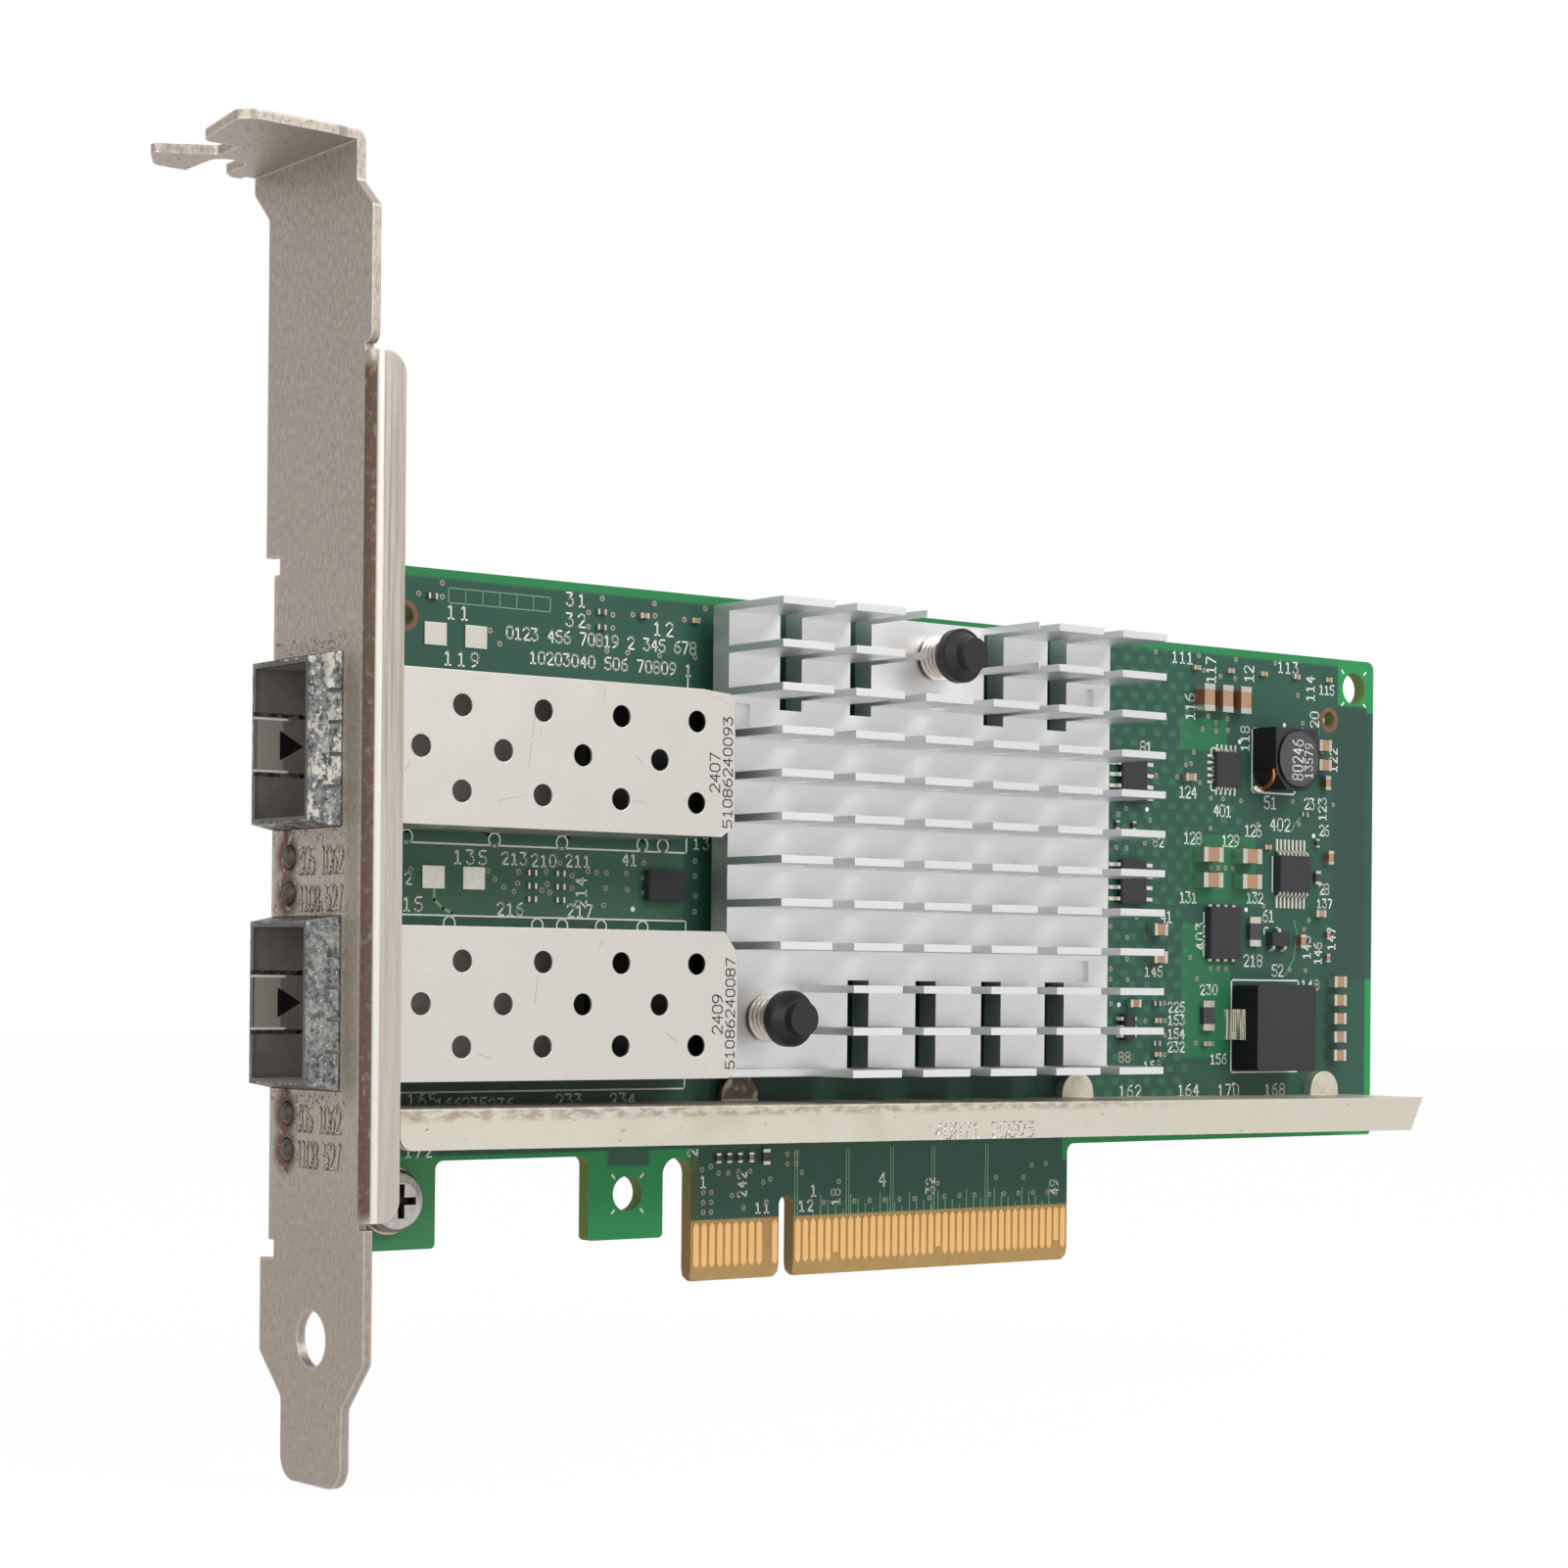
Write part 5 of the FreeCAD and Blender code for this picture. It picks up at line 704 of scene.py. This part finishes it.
# Upright stripes of painted highlight and painted shade make the flat clips look like round wire.
sheen_stripes = clip.noise(0.28, 2, stretch=(1, 1, 20), seed=3)
sheen_stripes = clip.ease(sheen_stripes, 0.35, 0.65)
clip.paint(clip.mix(sheen_stripes, (0.95, 0.93, 0.84), (0.30, 0.28, 0.20)), 0.22 + sheen_stripes * 0.2,
           sheen_stripes, 0.12)
dress(clip.material, "square_inductor_clips")
drum_low, drum_high = ([v / MM for v in corner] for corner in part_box("round_inductor_core"))
drum_x = (drum_low[0] + drum_high[0]) / 2
drum_z = (drum_low[2] + drum_high[2]) / 2
value = on_front(drum_low[1], 0.02)
value.number("80246", drum_x + 0.6, drum_z - 2.4, 1.7, 0.98, 0.15, turned=True, slim=0.62)
value.number("13579", drum_x + 2.2, drum_z - 2.1, 1.25, 0.84, 0.12, turned=True, slim=0.7)
value.done("inductor_value", white_ink)


def tube(name, points, radius, material):
    """A round wire with closed ends through points in millimetres."""
    mesh = bmesh.new()
    sides = 12
    rings = []
    for number, point in enumerate(points):
        before = Vector(points[max(number - 1, 0)])
        after = Vector(points[min(number + 1, len(points) - 1)])
        way = (after - before).normalized()
        side = way.cross(Vector((0.31, 0.87, 0.38))).normalized()
        top = way.cross(side)
        ring = []
        for i in range(sides):
            turn = 2 * math.pi * i / sides
            spoke = side * math.cos(turn) + top * math.sin(turn)
            ring.append(mesh.verts.new((Vector(point) + spoke * radius) * MM))
        rings.append(ring)
    for first, second in zip(rings, rings[1:]):
        for i in range(sides):
            j = (i + 1) % sides
            mesh.faces.new((first[i], first[j], second[j], second[i]))
    mesh.faces.new(list(reversed(rings[0])))
    mesh.faces.new(rings[-1])
    bmesh.ops.recalc_face_normals(mesh, faces=mesh.faces)
    for face in mesh.faces:
        face.smooth = True
    join_to_card(name, mesh, material)


def blob(name, place, radii, material):
    """A smooth drop of solder."""
    mesh = bmesh.new()
    bmesh.ops.create_icosphere(mesh, subdivisions=3, radius=1)
    for vertex in mesh.verts:
        vertex.co = Vector(p + c * r for p, c, r in zip(place, vertex.co, radii)) * MM
    for face in mesh.faces:
        face.smooth = True
    join_to_card(name, mesh, material)


copper = mottled("copper", 0.25, (0.80, 0.28, 0.12), (0.45, 0.13, 0.05), (0.25, 0.15), 0.03,
                 detail=1, stretch=(8, 1, 8), metallic=1.0)
dress(copper, "round_inductor_winding")
# The winding's end comes out at the cut corner and dips into its solder.
corner_x, corner_z = drum_x - 3.6, drum_z - 1.6
lead = [(corner_x + x, y, corner_z + z) for x, y, z in (
    (0.55, -3.9, 0.45), (0.15, -4.1, 0.15), (0.20, -4.05, -0.35), (0.50, -3.5, -0.95),
    (0.80, -2.6, -1.45), (0.90, -1.7, -1.75), (0.80, -1.0, -1.9))]
tube("inductor_lead", lead, 0.25, copper)
blob("inductor_solder", (corner_x + 0.75, -1.05, corner_z - 1.8), (0.85, 0.5, 0.55), tin)


# -------- heat sink
# Extruded aluminium with deep fins, sawn across into blocks and tumbled bright. It
# stands on a soft grey pad on the controller's package.
sink = Finish("sink_aluminium", metallic=1.0)
brushed = sink.noise(0.10, 2, stretch=(40, 1, 1))
cloud = sink.noise(7, 2)
colour = sink.mix(cloud, (0.88, 0.88, 0.885), (0.80, 0.80, 0.805))
sink.paint(colour, 0.36 + brushed * 0.14, brushed, 0.006, 0.08)
dress(sink.material, "heatsink")
pad = mottled("thermal_pad", 0.5, (0.25, 0.27, 0.30), (0.32, 0.34, 0.37), (0.7, 0.1), 0.02)
dress(pad, "thermal_pad")


# -------- push pins
# Two semi-gloss black nylon pins that snap through the board and hold the sink down,
# each by a coil of drawn steel wire under its head.
nylon = mottled("pin_nylon", 0.4, (0.010, 0.010, 0.011), (0.020, 0.020, 0.021), (0.34, 0.2),
                0.01, 0.1, detail=3, specular_ior_level=0.35)
dress(nylon, "push_pin_lower", "push_pin_upper")
wire = mottled("spring_wire", 0.3, (0.68, 0.62, 0.55), (0.45, 0.40, 0.35), (0.22, 0.15), 0.01,
               metallic=1.0)
dress(wire, "pin_spring_lower", "pin_spring_upper")


# -------- cages
# Two cages for pluggable transceivers, each a pierced cover and a base punched and folded
# from tinned sheet and pinned into the board. They are warm silver outside, dull and painted
# with shade inside, with a collar of tarnished spring fingers and a plastic socket each.
port_levels = (51.27, 27.83)
cage = Finish("cage_tin", metallic=1.0)
cloud = cage.noise(5, 3)
pits = cage.ease(cage.specks(1.1, 2.0), 0.03, 0.10, 1.0, 0.0)
scratch = cage.noise(0.3, 1, stretch=(30, 30, 1), seed=7)
smudge = cage.ease(cage.noise(2.4, 4, 0.6, seed=11), 0.58, 0.72)
colour = cage.mix(cloud, (0.78, 0.745, 0.69), (0.69, 0.66, 0.61))
colour = cage.mix(pits * 0.35, colour, (0.35, 0.32, 0.28))
colour = cage.mix(smudge * 0.25, colour, (0.50, 0.47, 0.41))
# The mouth is dull and dark. Inside, the far wall is painted with shade, with a paler latch tongue
# between painted highlights on two slits' edges.
mouth = cage.ease(cage.x, -61.9, -61.3, 1.0, 0.0)
colour = cage.mix(mouth * 0.93, colour, (0.10, 0.09, 0.08))
shaded_wall = cage.ease(cage.y, -2.2, -1.6) * cage.ease(cage.x, -49, -46, 1.0, 0.0)
wall_shade = cage.noise(1.6, 4, 0.65, seed=2)
colour = cage.mix(shaded_wall * 0.9, colour, cage.mix(wall_shade, (0.04, 0.036, 0.032), (0.17, 0.155, 0.14)))
for middle_z in port_levels:
    away = cage.z - middle_z
    away = away.sum("ABSOLUTE", away)
    tongue = shaded_wall * cage.within(cage.x, -61.8, -59.1, 0.15) * cage.ease(away, 2.4, 2.5, 1.0, 0.0)
    colour = cage.mix(tongue * 0.85, colour, (0.38, 0.35, 0.31))
    rail_highlight = shaded_wall * cage.within(away, 2.28, 2.64, 0.04) * cage.within(cage.x, -62, -58.6, 0.2)
    colour = cage.mix(rail_highlight, colour, (0.88, 0.86, 0.82))
cage.paint(colour, 0.34 + cloud * 0.12 + pits * 0.2 + smudge * 0.08,
           scratch * 0.3 + pits * -1.0, 0.01, 0.12, 1.0 - shaded_wall * 0.85)
dress(cage.material, "cage_upper_cover", "cage_lower_cover", "cage_upper_base", "cage_lower_base")
# A date and a lot line are marked in black on each cover.
cover_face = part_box("cage_upper_cover")[0][1] / MM
laser_black = mottled("laser_black", 0.2, (0.02, 0.018, 0.016), (0.07, 0.06, 0.055), (0.5, 0.2))
lot = on_front(cover_face, 0.015)
for shift_x, shift_z, first, second in ((0, 0, "2407", "51086240093"),
                                        (0.55, -23.44, "2409", "51086240087")):
    lot.number(first, -16.35 + shift_x, 48.5 + shift_z, 1.15, 1.0, 0.13, turned=True, slim=1.05)
    lot.number(second, -14.85 + shift_x, 45.1 + shift_z, 1.05, 1.0, 0.13, turned=True, slim=1.1)
lot.done("cage_lot_numbers", laser_black)
# Light scratches in the tin.
rub = mottled("tin_scratch", 0.6, (0.50, 0.48, 0.44), (0.36, 0.34, 0.31), (0.5, 0.1), metallic=0.8)
nicks = on_front(cover_face, 0.008)
for start, end in (((-37.85, 54.7), (-38.15, 52.6)), ((-38.2, 52.2), (-38.55, 49.7)),
                   ((-37.2, 53.4), (-37.2, 53.1)), ((-26.3, 51.6), (-25.7, 51.0)),
                   ((-25.9, 50.9), (-25.3, 50.5)), ((-26.6, 47.3), (-25.0, 47.0)),
                   ((-38.6, 47.3), (-41.9, 46.6)), ((-51.4, 49.6), (-51.9, 49.0)),
                   ((-29.9, 57.6), (-30.2, 56.8)), ((-37.3, 30.4), (-37.6, 28.0)),
                   ((-22.4, 25.0), (-21.2, 24.3)), ((-43.9, 23.2), (-42.4, 22.8)),
                   ((-30.0, 33.9), (-30.4, 33.2))):
    nicks.line(start, end, 0.07)
nicks.done("cage_scratches", rub)
# Two bits of the upper cover's own sheet fill its rear corners, whose bevels cut too much.
tips = on_front(cover_face + 0.3, 0.3)
tips.sheet([(-18.4, 58.39), (-14.5, 56.8), (-14.5, 57.45), (-15.1, 58.1)])
tips.sheet([(-14.5, 45.45), (-16.6, 44.15), (-16.0, 44.15), (-15.5, 44.55), (-14.9, 44.7)])
tips.done("cage_upper_corners", cage.material, "cage_metal")
# The three-sided catch hole in each base shows only the dark behind it, so a black sheet there is
# painted shadow.
catch = on_front(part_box("cage_upper_base")[0][1] / MM + 0.1, 0.12)
for middle_z in port_levels:
    catch.sheet([(-59.4, middle_z - 1.35), (-57.0, middle_z), (-59.4, middle_z + 1.35)])
shadow_sheet_black = mottled("catch_shadow_black", 0.5, (0.004, 0.004, 0.004), (0.010, 0.009, 0.008), (0.8, 0.1),
                 specular_ior_level=0.1)
catch.done("catch_shadows", shadow_sheet_black)
# The fingers round each mouth are tarnished grey, the upper ones with pale flecks.
tarnish = Finish("spring_tarnish", metallic=0.85)
hammer = tarnish.noise(0.55, 4, 0.7)
broad = tarnish.noise(2.0, 2, seed=8)
flecks = tarnish.ease(tarnish.noise(1.1, 5, 0.65, (1, 1, 1.5), seed=5), 0.51, 0.57)
lift = tarnish.ease(tarnish.z, 38, 44, 0.20, 0.70) * tarnish.ease(broad, 0.35, 0.6, 0.45, 1.0)
colour = tarnish.mix(tarnish.ease(hammer, 0.32, 0.68), (0.040, 0.043, 0.045),
                     (0.215, 0.220, 0.215))
colour = tarnish.mix(flecks * lift, colour, (0.62, 0.575, 0.50))
glint = tarnish.ease(tarnish.noise(0.3, 3, 0.6, seed=13), 0.60, 0.68)
colour = tarnish.mix(glint * 0.5, colour, (0.60, 0.60, 0.58))
tarnish.paint(colour, 0.46 - glint * 0.15 + hammer * 0.1, hammer, 0.07, 0.06)
dress(tarnish.material, "cage_upper_spring", "cage_lower_spring")
# Black moulded sockets and light housings, and the unlit glossy ends of the light pipes.
plastic = mottled("socket_plastic", 0.2, (0.02, 0.02, 0.02), (0.03, 0.03, 0.03), (0.45, 0.2), 0.01)
dress(plastic, "host_socket_upper", "host_socket_lower", "light_housings")
unlit = mottled("light_lens", 0.5, (0.010, 0.008, 0.006), (0.08, 0.062, 0.048), (0.22, 0.2),
                0.03, 0.5, specular_ior_level=0.35)
dress(unlit, "light_lenses")


# -------- bracket
# One steel sheet, punched, folded at its flanges and tab and plated with dull nickel. Its
# grain runs upright, its edges are worn bright and rust sits in its folds. Two plated
# screws with copper-coloured washers hold it to the board.
steel = Finish("bracket_nickel", metallic=0.9)
grain = steel.noise(0.22, 3, 0.6, stretch=(1, 1, 3.5))
speck = steel.ease(steel.noise(0.5, 4, 0.7, seed=21), 0.56, 0.70)
cloud = steel.noise(9, 3)
colour = steel.mix(steel.ease(grain, 0.3, 0.7), (0.315, 0.270, 0.228), (0.525, 0.465, 0.400))
colour = steel.mix(cloud * 0.45, colour, (0.44, 0.39, 0.34))
colour = steel.mix(speck * 0.35, colour, (0.26, 0.20, 0.15))
foot = steel.ease(steel.z, 4, 24, 1.0, 0.0)
colour = steel.mix(foot * 0.30, colour, (0.25, 0.20, 0.165))
# Near flange: painted highlight along the ridge at the bend, paler face, fine upright ribs towards its
# edge.
flange = steel.ease(steel.y, -17.55, -17.3, 1.0, 0.0) * steel.within(steel.z, 8, 86)
rib = steel.noise(0.22, 1, stretch=(1, 60, 60), seed=4)
paler = steel.mix(steel.ease(rib, 0.35, 0.65), (0.36, 0.32, 0.275), (0.52, 0.475, 0.415))
lower = steel.ease(steel.z, 20, 66, 1.0, 0.0)
paler = steel.mix(lower * 0.55, paler, (0.66, 0.61, 0.54))
colour = steel.mix(flange * 0.85, colour, paler)
ridge_highlight = flange * steel.within(steel.x, -59.2, -58.65, 0.12)
colour = steel.mix(ridge_highlight * (0.6 + steel.noise(0.5, 3, stretch=(1, 1, 3), seed=6) * 0.3), colour,
                   (0.86, 0.825, 0.77))
# Rust: along the bend, whose dark is partly a painted reflection of dark surroundings, round the
# lights, at the ports' corners and in the tab's fold.
patchy = steel.noise(0.8, 4, 0.65, seed=3)
fine = steel.noise(0.35, 3, 0.6, seed=9)
bend = steel.within(steel.y, -17.9, -16.3, 0.12) * steel.ease(steel.x, -59.35, -59.2, 1.0, 0.0)
bend = bend * steel.within(steel.z, 9, 84, 0.8) * steel.ease(patchy, 0.22, 0.50, 0.6, 1.0)
colour = steel.mix(bend * 0.95, colour,
                   steel.mix(fine, (0.030, 0.015, 0.008), (0.13, 0.072, 0.042)))
plate = steel.within(steel.x, -60.2, -58.6)
light_x, light_y, light_reach = -59.8, -3.5, 2.7
rings = steel.near((light_x, light_y, 41.0), light_reach)
for light_z in (37.7, 17.8, 14.5):
    rings = rings.most(steel.near((light_x, light_y, light_z), light_reach))
streak = steel.within(steel.y, -4.2, -2.6, 0.3)
streak = streak * (steel.within(steel.z, 34.8, 44.2).most(steel.within(steel.z, 12.4, 20.8)))
gap_high = steel.within(steel.z, 59.1, 60.6, 0.25).most(steel.within(steel.z, 42.2, 43.6, 0.25))
gap_low = steel.within(steel.z, 35.6, 37.0, 0.25).most(steel.within(steel.z, 18.7, 20.2, 0.25))
lips = gap_high.most(gap_low) * steel.within(steel.y, -14.5, 0.5, 0.4)
rust = (rings * steel.ease(patchy, 0.34, 0.42)).most(streak * steel.ease(patchy, 0.38, 0.50))
rust = rust.most(lips * steel.ease(fine, 0.53, 0.63)) * plate
fold = steel.within(steel.z, 101.2, 104.2, 0.5) * steel.within(steel.x, -61.5, -58)
rust = rust.most(fold * steel.ease(fine, 0.52, 0.64) * 0.25)
flecks = steel.ease(steel.noise(0.5, 3, 0.6, seed=17), 0.56, 0.64)
rust = rust.most(flecks * steel.ease(steel.x, -62.5, -61.5, 1.0, 0.0) * 0.35)
colour = steel.mix(rust * 0.9, colour,
                   steel.mix(fine, (0.020, 0.008, 0.005), (0.13, 0.038, 0.016)))
# Painted shadow between the ports and the near flange, and the edges worn bright where no rust is.
flange_shadow = steel.within(steel.y, -15.9, -13.7, 0.5) * steel.within(steel.z, 19, 59, 2) * plate
colour = steel.mix(flange_shadow * steel.ease(cloud, 0.3, 0.6, 0.2, 0.5), colour, (0.17, 0.155, 0.11))
dull = rust.most(bend)
edge = steel.edge_band(0.35) * steel.ease(dull, 0.05, 0.4, 1.0, 0.0)
colour = steel.mix(edge * 0.5, colour, (0.74, 0.70, 0.63))
steel.paint(colour, 0.42 + grain * 0.12 - edge * 0.1 + dull * 0.3, grain + rust * 0.8, 0.025, 0.15,
            0.9 - dull * 0.75)
dress(steel.material, "bracket")
# Pressed figures beside the lights, plain digits in two rows by each pair, in a paler copy of the steel
# as painted light on their tops.
# Each has a darker, thinner print beside it as painted shade at the foot of its slope.
figure_lit_steel = mottled("pressed_steel_lit", 0.3, (0.44, 0.385, 0.33), (0.58, 0.52, 0.45), (0.4, 0.15), 0.02,
                 metallic=0.9)
figure_shade_steel = mottled("pressed_shade", 0.3, (0.20, 0.165, 0.135), (0.28, 0.235, 0.195), (0.6, 0.15),
                 0.02, metallic=0.6)
plate_face = -59.817
figures = Print((plate_face, 0, 0), (0, -1, 0), (0, 0, 1), 0.07)
figure_shadows = Print((plate_face, 0, 0), (0, -1, 0), (0, 0, 1), 0.03)
for text, low_z, tall in (("305 1062", 39.5, 2.3), ("4108 527", 36.2, 2.1),
                          ("305 1062", 16.4, 2.2), ("4108 527", 13.2, 2.2)):
    figures.number(text, 5.4, low_z, tall, 1.0, 0.16, slim=0.6)
    figure_shadows.number(text, 5.55, low_z - 0.14, tall, 1.0, 0.16, slim=0.6)
figures.done("bracket_figures", figure_lit_steel, "bracket_steel")
figure_shadows.done("bracket_figure_shades", figure_shade_steel, "bracket_steel")
# The screws' recesses get painted shade, and the washers are a warm dull metal.
screw_steel = Finish("screw_plating", metallic=1.0)
plated = screw_steel.noise(0.6, 3)
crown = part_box("bracket_screws")[0][1] / MM
colour = screw_steel.mix(plated, (0.62, 0.60, 0.57), (0.36, 0.33, 0.30))
recess_shade = screw_steel.ease(screw_steel.y, crown + 0.35, crown + 0.75)
recess_shade = recess_shade * screw_steel.near((-47.5, crown + 1.0, 9.4), 4.4)
colour = screw_steel.mix(recess_shade * 0.88, colour, (0.070, 0.055, 0.042))
screw_steel.paint(colour, 0.16 + plated * 0.2 + recess_shade * 0.3, plated, 0.02, 0.12)
dress(screw_steel.material, "bracket_screws")
washer = mottled("washer_copper", 0.6, (0.62, 0.45, 0.33), (0.55, 0.48, 0.40), (0.3, 0.2),
                 0.01, 0.05, detail=3, metallic=1.0)
dress(washer, "screw_washers")


# -------- stiffener bar
# A strip of nickel-plated sheet folded to an angle, which three rivets through its ears
# hold along the foot of the board. It is cream coloured, pitted and a little brown in
# places, and its front carries a stamped line.
bar = Finish("bar_nickel", metallic=0.9)
cloud = bar.noise(6, 3)
stain = bar.ease(bar.noise(8, 3, seed=9), 0.42, 0.62) * bar.within(bar.x, -30, 8, 8)
pits = bar.ease(bar.specks(1.3, 1.0, stretch=(1.8, 1, 1)), 0.05, 0.14, 1.0, 0.0)
pits = pits * bar.ease(bar.noise(3, 2, seed=6), 0.42, 0.55)
edge = bar.edge_band(0.4)
fine_pits = bar.ease(bar.specks(0.5, 4.0), 0.08, 0.20, 1.0, 0.0)
colour = bar.mix(cloud, (0.74, 0.70, 0.60), (0.67, 0.625, 0.53))
colour = bar.mix(fine_pits * 0.35, colour, (0.36, 0.31, 0.23))
colour = bar.mix(stain * 0.2, colour, (0.40, 0.32, 0.22))
rims = bar.ease(bar.z, 16.9, 17.5).most(bar.ease(bar.z, 13.9, 14.3, 0.6, 0.0))
rims = rims * bar.ease(bar.y, -11, -10, 1.0, 0.0) * bar.within(bar.x, -60, 40, 12)
rims = rims * bar.ease(bar.noise(0.7, 4, 0.65, (2.5, 1, 1), seed=19), 0.40, 0.60)
colour = bar.mix(rims * 0.6, colour, (0.26, 0.19, 0.12))
colour = bar.mix(pits * 0.6, colour, (0.22, 0.18, 0.13))
# Edges painted pale are a painted highlight.
colour = bar.mix(edge * 0.5, colour, (0.78, 0.75, 0.68))
# The first ear is painted dark as a painted reflection of dark surroundings.
ear_reflection = bar.area(-9.7, -4.3, 18.2, 23, 0.2) * bar.ease(bar.noise(1.2, 3, seed=14), 0.3, 0.5, 0.5, 1)
colour = bar.mix(ear_reflection * 0.9, colour, (0.075, 0.05, 0.035))
relief = cloud * 0.3 + pits * -1.0 + fine_pits * -0.5
bar.paint(colour, 0.36 + cloud * 0.14 + pits * 0.2, relief, 0.03, 0.2)
dress(bar.material, "stiffener_bar", "bar_rivets")
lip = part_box("stiffener_bar")[0][1] / MM
stamp = Finish("bar_stamp", metallic=0.7)
dent = stamp.ease(stamp.noise(0.3, 2), 0.42, 0.56)
stamp.paint(stamp.mix(dent, (0.96, 0.95, 0.90), (0.33, 0.28, 0.21)), 0.5 + dent * 0.15, dent, 0.02)
stamped = on_front(lip, 0.015)
stamped.number("40871 25093", 9.8, 14.35, 1.55, 1.25, 0.13, slim=0.95)
stamped.done("bar_figures", stamp.material)
